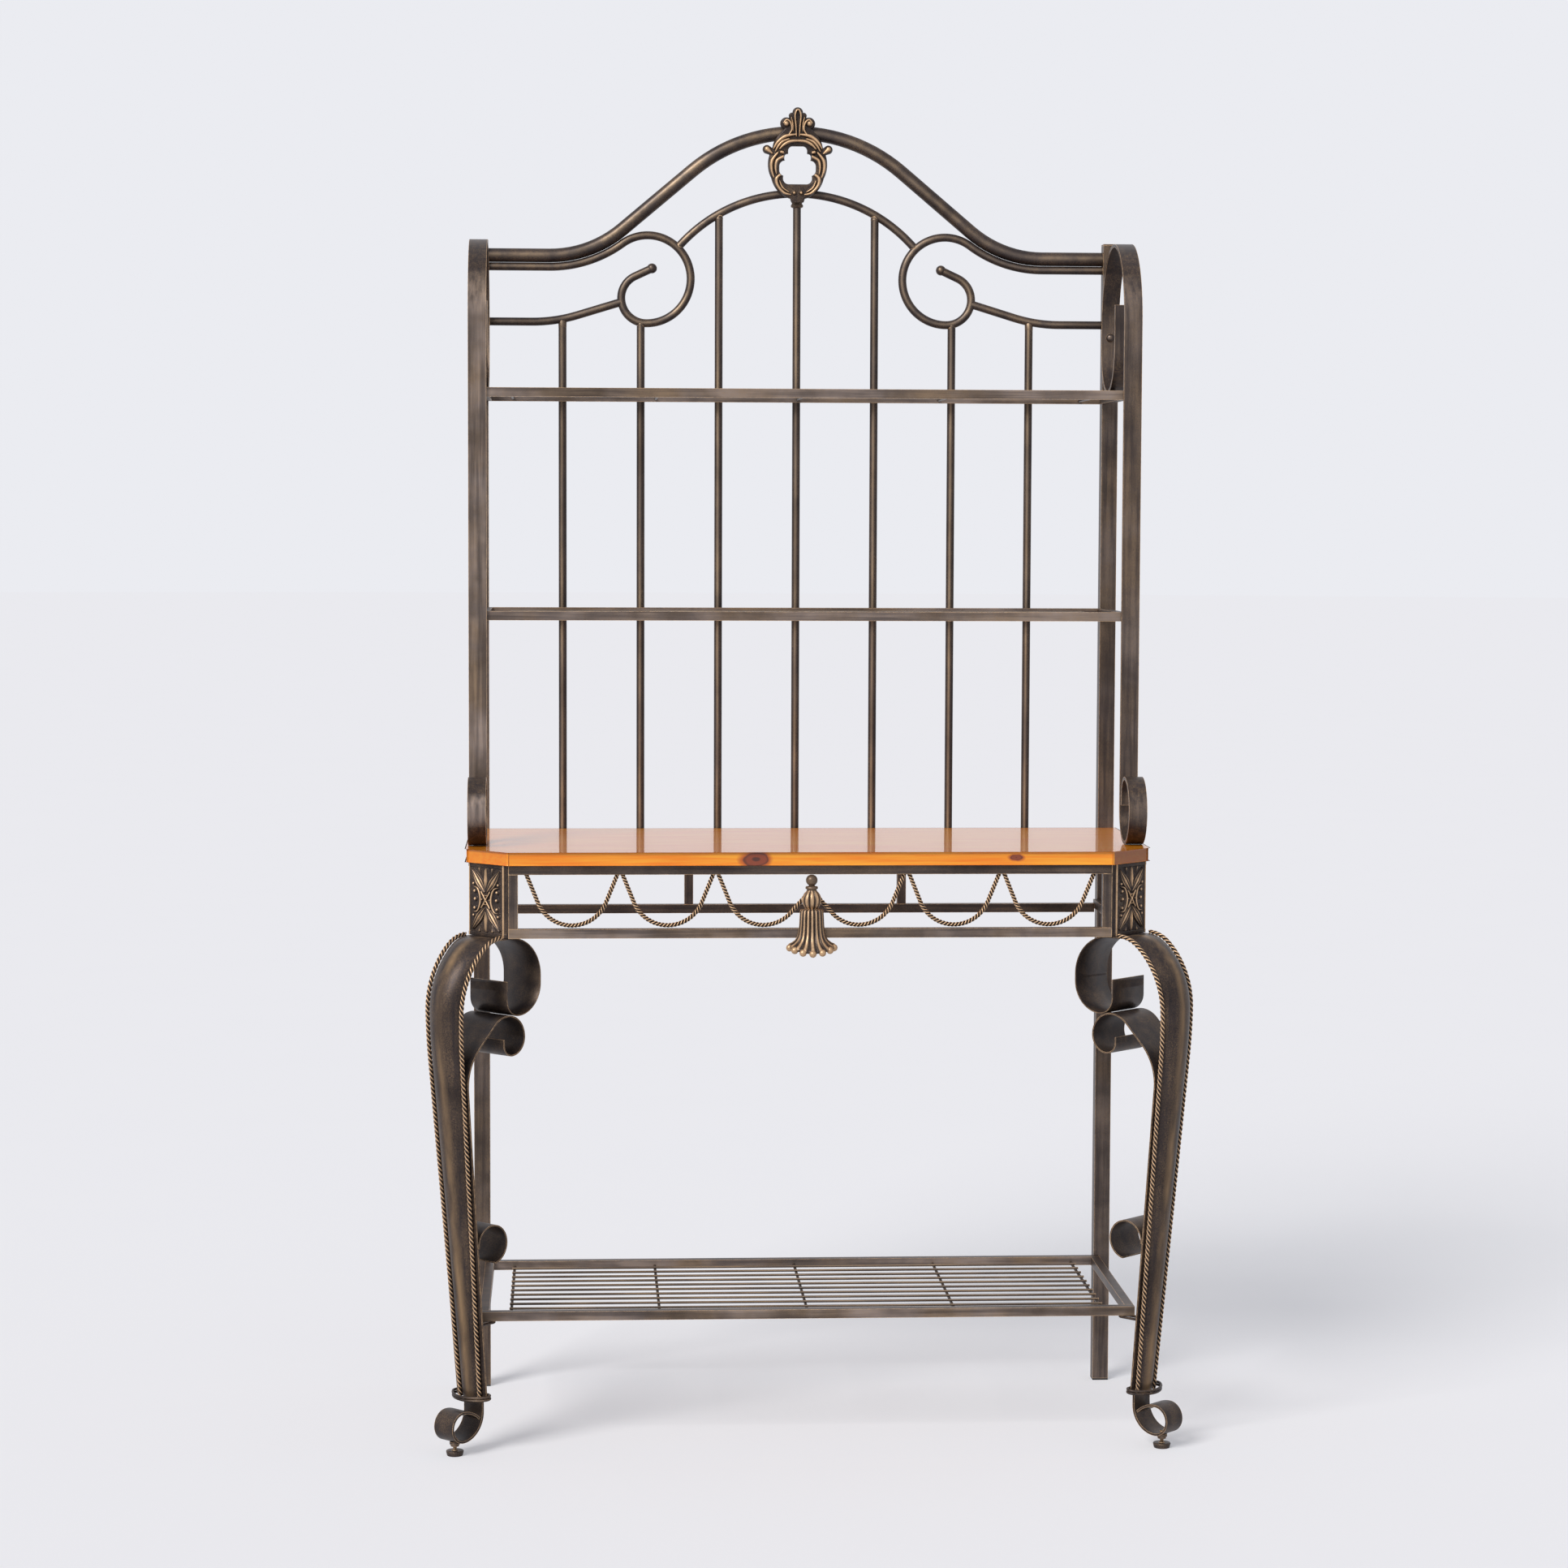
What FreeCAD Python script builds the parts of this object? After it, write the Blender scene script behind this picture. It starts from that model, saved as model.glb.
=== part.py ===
"""Bakers rack: wooden counter on cabriole front legs, wire shelves and a scrolled crest.

Millimetres, +Z up, front towards -Y.  While it is built the rack's middle is at X = 0, the counter's
front edge at Y = 0 and the floor at Z = 0; at the end everything is moved so that the origin is the
centre of the overall bounding box on the floor.
"""
import FreeCAD
import Part
import math
import os

# overall sizes
COUNTER_WIDTH = 1036.0
COUNTER_DEPTH = 416.0
COUNTER_TOP = 910.0
COUNTER_THICK = 20.0
CORNER_CUT = 62.0
TOP_EDGE_ROUND = 2.0
POST_TOP = 1850.0

# fits
WELD_GAP = 0.2
SEAT_GAP = 0.3
BALL_FLAT = 0.1

# square tube: posts and rear legs, and the lighter tube of rails and apron
POST = 25.4
POST_WALL = 1.5
POST_JOINT = COUNTER_TOP - 30.0
RAIL = 14.0
RAIL_WALL = 1.2
POST_FACE = COUNTER_DEPTH + 1.0
POST_MID = POST_FACE + POST / 2
POST_X = (COUNTER_WIDTH - POST) / 2
FOOT_PLATE = 3.0
CAP_PLATE = 2.0
PLUG_LENGTH = 15.0
SPIGOT_LENGTH = 120.0
SPIGOT_WALL = 2.0

# shelves
FRAME_HALF = COUNTER_WIDTH / 2 - 18.0
RAIL_FRONT = 3.0
UPPER_TOP = 1608.0
MIDDLE_TOP = 1266.0
LOWER_TOP = 208.0
LOWER_FRONT = 26.0
LONG_WIRE = 3.8
CROSS_WIRE = 4.5
WIRE_DROP = 5.0
WIRE_PITCH = 33.0
CROSS_PITCH = 226.4
CROSS_WIRES = 5
HANGER_WIRE = 4.0
HANGER_HALF = 8.0

# apron
APRON_TOP = COUNTER_TOP - COUNTER_THICK
APRON_BOTTOM = APRON_TOP - 110.0
REAR_APRON_BOTTOM = APRON_TOP - 116.0
UPRIGHT_X = COUNTER_WIDTH / 2 - CORNER_CUT - 8.0
REAR_UPRIGHT_X = 172.0

# rope swags and tassel
ROPE = 7.0
SWAGS_A_SIDE = 3
SWAG_END_GAP = 9.0
SWAG_PITCH = (UPRIGHT_X - RAIL / 2 - SWAG_END_GAP) / SWAGS_A_SIDE
SWAG_SAG = 77.0
SWAG_ANGLE = 68.0
TASSEL_BALL = 8.8
TASSEL_BEAD = 15.0
TASSEL_BEAD_Z = APRON_TOP - 52.0
BEAD_RISE = 13.0
BEAD_DROP = 14.0
TASSEL_WAIST = 9.0
TASSEL_NECK = 9.5
SKIRT_TOP = 17.6
SKIRT_FLARE = 20.7
SKIRT_HEM = 36.0
SKIRT_LENGTH = 39.0
HEM_DROP = 15.0
HEM_HEIGHT = 6.0
DROP_BALL = 5.5
DROP_BALLS = 7
DROP_TURN = 25.0
TASSEL_BACK = RAIL_FRONT - SEAT_GAP

# corner casing and its pressed plate, in the corner's own frame
CASING_WIDTH = CORNER_CUT * math.sqrt(2) - 3.7
CASING_DEPTH = 9.0
CASING_WALL = 2.0
CASING_INSET = 4.5
PLATE_THICK = 1.5
BORDER_WIDTH = 4.0
BORDER_RISE = 1.5

# cabriole front leg: s runs out along the corner's diagonal, u across it
ANKLE_S = 36.0
ANKLE_Z = 82.0
LEAN = 5.2
CALF_RADIUS = 800.0
KNEE_RADIUS = 125.0
KNEE_TURN = 50.0
HIP_RADIUS = 52.0
SCROLL_START = -12.6
SCROLL_RADII = (60.0, 46.0, 24.0)
SCROLL_DROP = 11.0
SCROLL_END = 29.0
SHEET = 2.0
STRIP_WIDTH = 80.0
ANKLE_WIDTH = 64.0
TAPER_TOP = 600.0
ROPE_HALF_ANKLE = 21.0
ROPE_HALF_GROWTH = 0.0265
ROPE_STANDOFF = 3.6
STRIP_DROP = 1.3
CROWN_SHARE = 0.55
CROWN_FADE = 1.3
CROWN_LEAST = 0.4
SECTION_TURN = 10.0
BACK_SCROLL_DROP = 223.2
BACK_SCROLL = ((80.0, 50.2), (40.0, 45.0), (34.0, 90.0), (26.5, 90.0), (16.5, 90.0))
BACK_SCROLL_LINK = 42.8
BACK_SCROLL_END = 9.0
RING_RADIUS = 29.0
RING_Z = 316.5
RING_TURN = 265.0
COLLAR_WIRE = 4.0
COLLAR_HEIGHTS = (2.4, 6.8)
COLLAR_HALF = 28.0
COLLAR_CORNER = 8.5
COLLAR_TURN = 130.0

# foot scroll and screw leveller
FOOT_WIDTH = 40.0
FOOT_THICK = 3.5
FOOT_LAP = 34.0
FOOT_DROP = 19.5
FOOT_ARC = 39.5
FOOT_RING = 22.0
FOOT_RETURN = 45.0
FOOT_RETURN_TURN = 46.0
SCREW = 6.0
SCREW_CLEARANCE = 0.05
SCREW_TOP = 27.0
NUT_HEIGHT = 7.0
NUT_BODY = 12.8
NUT_FLANGE = 16.0
NUT_FLANGE_HEIGHT = 3.85
PAD = 27.0
PAD_HEIGHT = 8.0
PAD_TAPER = 1.5
PAD_CHAMFER = 1.0

# back panel of the hutch
BACK_ROD = 12.7
ROD_PITCH = 124.8
ROD_COUNT = 7
HUTCH_RAIL_TOP = COUNTER_TOP - 10.0
CREST_TUBE = 22.0
CREST_Z = POST_TOP - 24.0
CROWN_RISE = 197.0
CREST_FOOT_RADIUS = 180.5
CREST_TOP_RADIUS = 260.0
CREST_TURN = 40.0
ROD = 13.0
SCROLL_ROD_TURN = 36.0
SCROLL_ROD_RADII = ((68.5, 126.0), (71.0, 90.0), (40.0, 90.0), (44.0, 90.0))
BALL = 16.0
WING_Z = CREST_Z - 105.0
WING_BEND_X = 378.0
WING_BEND_RADIUS = 52.0
WING_SLOPE = 17.0
WING_REACH = 93.5
ARCH_RADIUS = 252.0
ARCH_TOP = CREST_Z + 101.0
ARCH_HALF_ANGLE = 50.0

# side bars
BAR_WIDTH = 28.0
BAR_THICK = 5.0
BAR_BOW = 122.0
BAR_BOW_Z = UPPER_TOP + 108.0
BAR_HOOK = 72.0
BAR_HOOK_END = 62.0
BAR_SCROLL = 49.5
BAR_SCROLL_INNER = 34.0
BAR_SCROLL_END = 10.0
BOLT = 6.0
BOLT_HEAD = 14.0
BOLT_HEAD_HEIGHT = 5.0
BOLT_Z = UPPER_TOP + 92.0
BOLT_FIT = 0.1
NUT_THICK = 5.0

# cast cartouche
CARTOUCHE_Z = CREST_Z + 144.0
CARTOUCHE_RADIUS = 47.0
CARTOUCHE_THICK = 12.0
CARTOUCHE_RISE = 91.5
OPENING_LOBES = ((0.0, -4.0, 26.0), (0.0, 14.0, 15.0), (-13.0, -10.0, 17.0), (13.0, -10.0, 17.0))
EAR_X, EAR_Z, EAR = 49.0, 23.0, 7.0
VOLUTE_X, VOLUTE_Z, VOLUTE = 16.0, 66.0, 11.0
FINIAL = 8.0
SHOULDER_HALF, SHOULDER_HEIGHT = 30.0, 44.0
NECK_HALF, NECK_LOW = 22.0, 30.0
SPINE_HALF = 14.0
ROD_COLLAR = 10.0
ROD_COLLAR_HEIGHT = 9.0
ROD_COLLAR_DROP = 17.0
ARM_HALF = 6.0
REST = 4.0
REST_X = 24.0

UP = FreeCAD.Vector(0, 0, 1)
SIDES = (("left", -1), ("right", 1))


def vec(x, y, z):
    return FreeCAD.Vector(x, y, z)


def box(x0, x1, y0, y1, z0, z1):
    return Part.makeBox(x1 - x0, y1 - y0, z1 - z0, vec(x0, y0, z0))


def cylinder(radius, start, end):
    return Part.makeCylinder(radius, (end - start).Length, start, end - start)


def ball(radius, centre, axis=UP):
    """A turned ball with a small flat at each end of its axis."""
    flat = radius * BALL_FLAT
    height = math.sqrt(radius ** 2 - flat ** 2)
    side = Part.Arc(vec(flat, 0, -height), vec(radius, 0, 0), vec(flat, 0, height)).toShape()
    path = [vec(flat, 0, height), vec(0, 0, height), vec(0, 0, -height), vec(flat, 0, -height)]
    lines = [Part.makeLine(start, end) for start, end in zip(path, path[1:])]
    turned = Part.Face(Part.Wire([side] + lines)).revolve(vec(0, 0, 0), UP, 360)
    turned.Placement = FreeCAD.Placement(centre, FreeCAD.Rotation(UP, axis))
    return turned


def fuse(shapes):
    return shapes[0].multiFuse(shapes[1:]).removeSplitter()


def group(shapes):
    return Part.makeCompound([solid for shape in shapes for solid in shape.Solids])


def mirrored(shape):
    return shape.mirror(vec(0, 0, 0), vec(1, 0, 0))


def pair(shape):
    return group([shape, mirrored(shape)])


class Pen:
    """A line of straights and tangent arcs in a plane; headings are anticlockwise from the first axis."""

    def __init__(self, point, heading):
        self.point = point
        self.heading = heading
        self.pieces = []

    def straight(self, length):
        start = self.point
        angle = math.radians(self.heading)
        self.point = (start[0] + length * math.cos(angle), start[1] + length * math.sin(angle))
        self.pieces.append(("straight", start, self.heading, length, 0.0))
        return self

    def arc(self, radius, turn):
        """Turn left by turn degrees, or right when it is negative."""
        start = self.point
        side = math.copysign(90.0, turn)
        to_centre = math.radians(self.heading + side)
        centre = (start[0] + radius * math.cos(to_centre), start[1] + radius * math.sin(to_centre))
        self.pieces.append(("arc", start, self.heading, radius, turn))
        self.heading += turn
        out = math.radians(self.heading - side)
        self.point = (centre[0] + radius * math.cos(out), centre[1] + radius * math.sin(out))
        return self

    def stations(self, step):
        """Points and headings along the line: the ends of straights, and every step degrees of arcs."""
        found = []
        for kind, start, heading, size, turn in self.pieces:
            count = 1 if kind == "straight" else math.ceil(abs(turn) / step)
            for index in range(count):
                part = Pen(start, heading)
                if kind == "arc":
                    part.arc(size, turn * index / count)
                found.append((part.point, part.heading))
        found.append((self.point, self.heading))
        return found

    def edges(self, offset, place):
        """The line moved sideways by offset (left is positive), as edges put in space by place."""
        drawn = []
        for kind, start, heading, size, turn in self.pieces:
            part = Pen(start, heading)
            points = [part.aside(offset)]
            if kind == "straight":
                part.straight(size)
                points.append(part.aside(offset))
                drawn.append(Part.makeLine(*[place(*point) for point in points]))
            else:
                part.arc(size, turn / 2)
                points.append(part.aside(offset))
                part.arc(size, turn / 2)
                points.append(part.aside(offset))
                drawn.append(Part.Arc(*[place(*point) for point in points]).toShape())
        return drawn

    def aside(self, offset):
        angle = math.radians(self.heading + 90.0)
        return (self.point[0] + offset * math.cos(angle), self.point[1] + offset * math.sin(angle))


def flat_bar(pen, thick, place, across):
    """A bar of the given thickness along a pen line, extruded by the vector across."""
    left = pen.edges(thick / 2, place)
    right = pen.edges(-thick / 2, place)
    first = Part.makeLine(right[0].firstVertex().Point, left[0].firstVertex().Point)
    last = Part.makeLine(left[-1].lastVertex().Point, right[-1].lastVertex().Point)
    outline = Part.Wire([first] + left + [last] + right[::-1])
    return Part.Face(outline).extrude(across)


def round_bar(edges, diameter):
    """A round rod swept along edges that run on tangentially."""
    line = Part.Wire(edges)
    first = edges[0]
    start = first.firstVertex(True).Point
    heading = first.tangentAt(first.FirstParameter)
    profile = Part.Wire([Part.makeCircle(diameter / 2, start, heading)])
    return line.makePipeShell([profile], True, False)


def square_tube(x0, x1, y0, y1, z0, z1, wall):
    """A hollow square tube along its longest side, open at the ends."""
    spans = ((x0, x1), (y0, y1), (z0, z1))
    lengths = [high - low for low, high in spans]
    along = lengths.index(max(lengths))
    inner = []
    for axis, (low, high) in enumerate(spans):
        inset = 0.0 if axis == along else wall
        inner += [low + inset, high - inset]
    return box(x0, x1, y0, y1, z0, z1).cut(box(*inner))


# ---- corner frame: s outward, u across, z up --------------------------------------------------

def corner_point():
    return vec(COUNTER_WIDTH / 2 - CORNER_CUT / 2, CORNER_CUT / 2, 0)


def at_corner(shape, side):
    """Turn a shape drawn with s along X and u along Y into the left or right front corner."""
    turned = shape.copy()
    turned.rotate(vec(0, 0, 0), UP, -45.0)
    turned.translate(corner_point())
    return turned if side > 0 else mirrored(turned)


def in_leg(s, z):
    return vec(s, 0, z)


def bend_knee(pen):
    return pen.arc(CALF_RADIUS, LEAN).arc(KNEE_RADIUS, KNEE_TURN).arc(HIP_RADIUS, 90.0 - KNEE_TURN)


def shin_to(drop):
    """Length of the straight shin from the ankle to the given drop under the leg's flat top."""
    leg_top = casing_heights()[0] - WELD_GAP - CROWN_LEAST
    return (leg_top - drop - ANKLE_Z) / math.cos(math.radians(LEAN))


def leg_line():
    """Line of the front strip from the ankle over the knee to the start of the flat top."""
    knee_rise = bend_knee(Pen((0.0, 0.0), 90.0 - LEAN)).point[1]
    return bend_knee(Pen((ANKLE_S, ANKLE_Z), 90.0 - LEAN).straight(shin_to(knee_rise)))


def rope_half(z):
    return ROPE_HALF_ANKLE + ROPE_HALF_GROWTH * (z - ANKLE_Z)


def shell_section(point, heading, half, crown):
    """A crescent across the leg line: a sheet of even thickness bowed outward by crown."""
    out = math.radians(heading - 90.0)
    normal = vec(math.cos(out), 0, math.sin(out))
    radius = (half ** 2 + crown ** 2) / (2 * crown)
    centre = vec(point[0], 0, point[1]) + normal * (crown - radius)
    spread = math.atan2(half, radius - crown)
    arcs = []
    for size in (radius, radius - SHEET):
        points = [centre + vec(0, size * math.sin(turn), 0) + normal * (size * math.cos(turn))
                  for turn in (-spread, 0.0, spread)]
        arcs.append(Part.Arc(*points))
    outer, inner = arcs
    last = Part.makeLine(outer.EndPoint, inner.EndPoint)
    first = Part.makeLine(inner.StartPoint, outer.StartPoint)
    return Part.Wire([outer.toShape(), last, inner.toShape(), first])


def crown_at(half, heading):
    """How far the shell bows out: in step with its width on the shin, dying away over the knee."""
    fade = math.cos(math.radians(max(heading - 90.0, 0.0)))
    return max(CROWN_SHARE * half * fade ** CROWN_FADE, CROWN_LEAST)


def leg_strip():
    """Rolled shell of the leg, running on as a flat strip into the big scroll."""
    pen = leg_line()
    sections = []
    for (s, z), heading in pen.stations(SECTION_TURN):
        half = rope_half(z) - ROPE_STANDOFF
        sections.append(shell_section((s, z), heading, half, crown_at(half, heading)))
    shell = Part.makeLoft(sections, True, True)
    top = Pen((pen.point[0], pen.point[1] - SHEET / 2), 180.0).straight(pen.point[0] - SCROLL_START)
    for radius in SCROLL_RADII:
        top.arc(radius, 90.0)
        if radius == SCROLL_RADII[0]:
            top.straight(SCROLL_DROP)
    top.straight(SCROLL_END)
    scroll = flat_bar(top, SHEET, in_leg, vec(0, STRIP_WIDTH, 0))
    scroll.translate(vec(0, -STRIP_WIDTH / 2, 0))
    return shell.fuse(scroll)


def back_line():
    """Middle line of the flat strip behind the shell, up to the end of its scroll."""
    behind = STRIP_DROP + SHEET / 2
    start = Pen((ANKLE_S, ANKLE_Z), 90.0 - LEAN).aside(behind)
    pen = Pen(start, 90.0 - LEAN).straight(shin_to(BACK_SCROLL_DROP))
    for index, (radius, turn) in enumerate(BACK_SCROLL):
        if index == 1:
            pen.straight(BACK_SCROLL_LINK)
        pen.arc(radius, turn)
    return pen.straight(BACK_SCROLL_END)


def back_strip():
    """Flat strip: tapered along the shin, full width where it leaves the shell and scrolls."""
    strip = flat_bar(back_line(), SHEET, in_leg, vec(0, STRIP_WIDTH, 0))
    strip.translate(vec(0, -STRIP_WIDTH / 2, 0))
    low, high = ANKLE_WIDTH / 2, STRIP_WIDTH / 2
    reach = STRIP_WIDTH
    corners = [(low, ANKLE_Z - reach), (low, ANKLE_Z), (high, TAPER_TOP), (high, APRON_TOP)]
    outline = [vec(0, u, z) for u, z in corners] + [vec(0, -u, z) for u, z in corners[::-1]]
    allowed = Part.Face(Part.makePolygon(outline + outline[:1])).extrude(vec(4 * reach, 0, 0))
    allowed.translate(vec(-2 * reach, 0, 0))
    return strip.common(allowed)


def back_face(z):
    """s of the back strip's rear face at height z on the shin."""
    lean = math.radians(LEAN)
    return ANKLE_S + (z - ANKLE_Z) * math.tan(lean) - (STRIP_DROP + SHEET) / math.cos(lean)


def lower_ring():
    """The small third scroll, an almost closed ring of strip welded to the back strip."""
    lean = math.radians(LEAN)
    off = (SHEET / 2 + WELD_GAP) / math.cos(lean)
    pen = Pen((back_face(RING_Z) - off, RING_Z), 90.0 - LEAN).arc(RING_RADIUS, RING_TURN)
    width = ANKLE_WIDTH + (STRIP_WIDTH - ANKLE_WIDTH) * (RING_Z - ANKLE_Z) / (TAPER_TOP - ANKLE_Z)
    ring = flat_bar(pen, SHEET, in_leg, vec(0, width, 0))
    ring.translate(vec(0, -width / 2, 0))
    return ring


def rope_trims():
    """The two twisted rods along the edges of the shell, each in a plane that opens with the leg."""
    standoff = ROPE / 2 + SEAT_GAP - STRIP_DROP
    slant = vec(0, ROPE_HALF_GROWTH, 1).normalize()
    start = vec(0, ROPE_HALF_ANKLE, ANKLE_Z)
    edges = leg_line().edges(-standoff, lambda s, z: start + vec(s, 0, 0) + slant * (z - ANKLE_Z))
    rope = round_bar(edges, ROPE)
    return group([rope, rope.mirror(vec(0, 0, 0), vec(0, 1, 0))])


def collar_ring(height):
    """One wire loop round shell, ropes, back strip and foot bar, square to the shin."""
    back = STRIP_DROP + SHEET + FOOT_THICK + 2 * WELD_GAP + COLLAR_WIRE / 2
    sine = math.sin(math.radians(COLLAR_TURN))
    front_radius = COLLAR_HALF / sine + COLLAR_CORNER
    pen = Pen((0.0, 0.0), 0.0).straight(COLLAR_HALF).arc(COLLAR_CORNER, COLLAR_TURN)
    pen.arc(front_radius, 360.0 - 2 * COLLAR_TURN).arc(COLLAR_CORNER, COLLAR_TURN)
    pen.straight(COLLAR_HALF)
    shin = Pen((ANKLE_S, ANKLE_Z), 90.0 - LEAN).straight(height)
    out = math.radians(-LEAN)
    normal = vec(math.cos(out), 0, math.sin(out))
    origin = vec(shin.point[0], 0, shin.point[1]) - normal * back
    loop = pen.edges(0.0, lambda u, n: origin + vec(0, u, 0) + normal * n)
    return round_bar(loop, COLLAR_WIRE)


def foot_line():
    """Flat bar from behind the ankle down, forward and up into the foot ring."""
    bar_s = back_face(ANKLE_Z + FOOT_LAP) - (FOOT_THICK / 2 + WELD_GAP)
    pen = Pen((bar_s, ANKLE_Z + FOOT_LAP), 270.0 - LEAN).straight(FOOT_LAP)
    pen.arc(FOOT_ARC / 2, LEAN).straight(FOOT_DROP - FOOT_ARC / 2 * math.sin(math.radians(LEAN)))
    pen.arc(FOOT_ARC, 90.0).arc(FOOT_RING, 180.0)
    return pen.arc(FOOT_RETURN, FOOT_RETURN_TURN)


def screw_axis():
    """s of the leveller, under the lowest point of the foot ring, and z of the bar there."""
    pen = foot_line()
    start = pen.pieces[-2][1]
    return start[0], start[1]


def foot_scroll():
    bar = flat_bar(foot_line(), FOOT_THICK, in_leg, vec(0, FOOT_WIDTH, 0))
    bar.translate(vec(0, -FOOT_WIDTH / 2, 0))
    s, z = screw_axis()
    hole = Part.makeCylinder(SCREW / 2 + 2 * SEAT_GAP, 2 * FOOT_THICK, vec(s, 0, z - FOOT_THICK))
    return bar.cut(hole)


def nut_bottom():
    return screw_axis()[1] - FOOT_THICK / 2 - WELD_GAP - NUT_HEIGHT


def foot_nut():
    """Round flanged nut welded under the ring."""
    s = screw_axis()[0]
    bottom = nut_bottom()
    flange_bottom = bottom + NUT_HEIGHT - NUT_FLANGE_HEIGHT
    body = Part.makeCylinder(NUT_BODY / 2, NUT_HEIGHT, vec(s, 0, bottom))
    flange = Part.makeCylinder(NUT_FLANGE / 2, NUT_FLANGE_HEIGHT, vec(s, 0, flange_bottom))
    bore = Part.makeCylinder(SCREW / 2 + SCREW_CLEARANCE, NUT_HEIGHT, vec(s, 0, bottom))
    return fuse([body, flange]).cut(bore)


def leveller():
    """Screw with a knurled pad."""
    s = screw_axis()[0]
    pad = Part.makeCone(PAD / 2 - PAD_TAPER, PAD / 2, PAD_HEIGHT, vec(s, 0, 0))
    edge = [e for e in pad.Edges if abs(e.BoundBox.ZMin - PAD_HEIGHT) < 0.01 and e.Closed]
    pad = pad.makeChamfer(PAD_CHAMFER, edge[:1])
    stem = Part.makeCylinder(SCREW / 2, SCREW_TOP - PAD_HEIGHT, vec(s, 0, PAD_HEIGHT))
    return fuse([pad, stem])


# ---- counter and apron ------------------------------------------------------------------------

def counter_top():
    half, cut = COUNTER_WIDTH / 2, CORNER_CUT
    low = COUNTER_TOP - COUNTER_THICK
    outline = [(-half, COUNTER_DEPTH), (-half, cut), (cut - half, 0), (half - cut, 0), (half, cut)]
    points = [vec(x, y, low) for x, y in outline + [(half, COUNTER_DEPTH)]]
    slab = Part.Face(Part.makePolygon(points + points[:1])).extrude(UP * COUNTER_THICK)
    rim = [edge for edge in slab.Edges if edge.BoundBox.ZMin > COUNTER_TOP - 0.01]
    return slab.makeFillet(TOP_EDGE_ROUND, rim)


def casing_space():
    """The space of a corner casing and all before it, with a gap around, in the corner frame."""
    half = CASING_WIDTH / 2 + SEAT_GAP
    back = -CASING_INSET - CASING_DEPTH - SEAT_GAP
    return box(back, RAIL, -half, half, APRON_BOTTOM, APRON_TOP)


def casing_heights():
    return APRON_BOTTOM + SEAT_GAP, APRON_TOP - SEAT_GAP


def corner_casing():
    """Folded tray, open at the back, standing on the flat top of the leg."""
    low, high = casing_heights()
    half = CASING_WIDTH / 2
    front, back = -CASING_INSET, -CASING_INSET - CASING_DEPTH
    tray = box(back, front, -half, half, low, high)
    hollow = box(back, front - CASING_WALL, CASING_WALL - half, half - CASING_WALL,
                 low + CASING_WALL, high - CASING_WALL)
    return tray.cut(hollow)


def corner_plate():
    """Pressed plate on the casing's front, with a raised border."""
    low, high = casing_heights()
    half = CASING_WIDTH / 2
    back = -CASING_INSET + WELD_GAP
    sheet = box(back, back + PLATE_THICK, -half, half, low, high)
    rim = box(back, back + PLATE_THICK + BORDER_RISE, -half, half, low, high)
    field = box(back, back + PLATE_THICK + BORDER_RISE, BORDER_WIDTH - half, half - BORDER_WIDTH,
                low + BORDER_WIDTH, high - BORDER_WIDTH)
    return fuse([sheet, rim.cut(field)])


def clear_of_casings(shape):
    trimmed = shape
    for _, side in SIDES:
        trimmed = trimmed.cut(at_corner(casing_space(), side))
    return max(trimmed.Solids, key=lambda solid: solid.Volume)


def front_rail(bottom):
    half = UPRIGHT_X + RAIL / 2 + CASING_DEPTH
    rail = square_tube(-half, half, RAIL_FRONT, RAIL_FRONT + RAIL, bottom, bottom + RAIL, RAIL_WALL)
    return clear_of_casings(rail)


def side_apron():
    """Top and bottom rails of the right side, from the casing back to the rear leg."""
    rails = []
    for bottom in (APRON_TOP - RAIL, APRON_BOTTOM):
        rail = square_tube(FRAME_HALF - RAIL, FRAME_HALF, RAIL_FRONT, POST_FACE, bottom, bottom + RAIL,
                           RAIL_WALL)
        rails.append(clear_of_casings(rail))
    return group(rails)


def rear_rail(bottom):
    half = FRAME_HALF - RAIL
    return square_tube(-half, half, POST_FACE - RAIL, POST_FACE, bottom, bottom + RAIL, RAIL_WALL)


def apron_uprights():
    top = APRON_TOP - RAIL
    front = square_tube(UPRIGHT_X - RAIL / 2, UPRIGHT_X + RAIL / 2, RAIL_FRONT, RAIL_FRONT + RAIL,
                        APRON_BOTTOM + RAIL, top, RAIL_WALL)
    front = clear_of_casings(front)
    rear = square_tube(REAR_UPRIGHT_X - RAIL / 2, REAR_UPRIGHT_X + RAIL / 2, POST_FACE - RAIL,
                       POST_FACE, REAR_APRON_BOTTOM + RAIL, top, RAIL_WALL)
    return group([pair(front), pair(rear)])


def swag_edges(middle, inner_length):
    """Hanging curve from its inner end to its outer: straight, an arc at the bottom, straight."""
    turn = math.radians(SWAG_ANGLE)
    half = SWAG_PITCH / 2 - ROPE / 2 - SEAT_GAP
    slope = math.tan(turn)
    radius = (half * slope - SWAG_SAG) / (math.sin(turn) * slope - (1 - math.cos(turn)))
    rise = (half - radius * math.sin(turn)) / math.cos(turn) + ROPE
    low = APRON_TOP - RAIL - SWAG_SAG
    start = (middle - radius * math.sin(turn), low + radius * (1 - math.cos(turn)))
    length = rise if inner_length is None else inner_length
    head = Pen(start, 180.0 - SWAG_ANGLE).straight(length)
    pen = Pen(head.point, -SWAG_ANGLE).straight(length)
    pen.arc(radius, 2 * SWAG_ANGLE).straight(rise)
    return pen.edges(0.0, lambda x, z: vec(x, RAIL_FRONT + RAIL / 2, z))


def tassel_boss():
    """Round boss behind the tassel's bead that the ropes run into."""
    back = RAIL_FRONT + RAIL
    return cylinder(TASSEL_BEAD, vec(0, TASSEL_BACK, TASSEL_BEAD_Z), vec(0, back, TASSEL_BEAD_Z))


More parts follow.
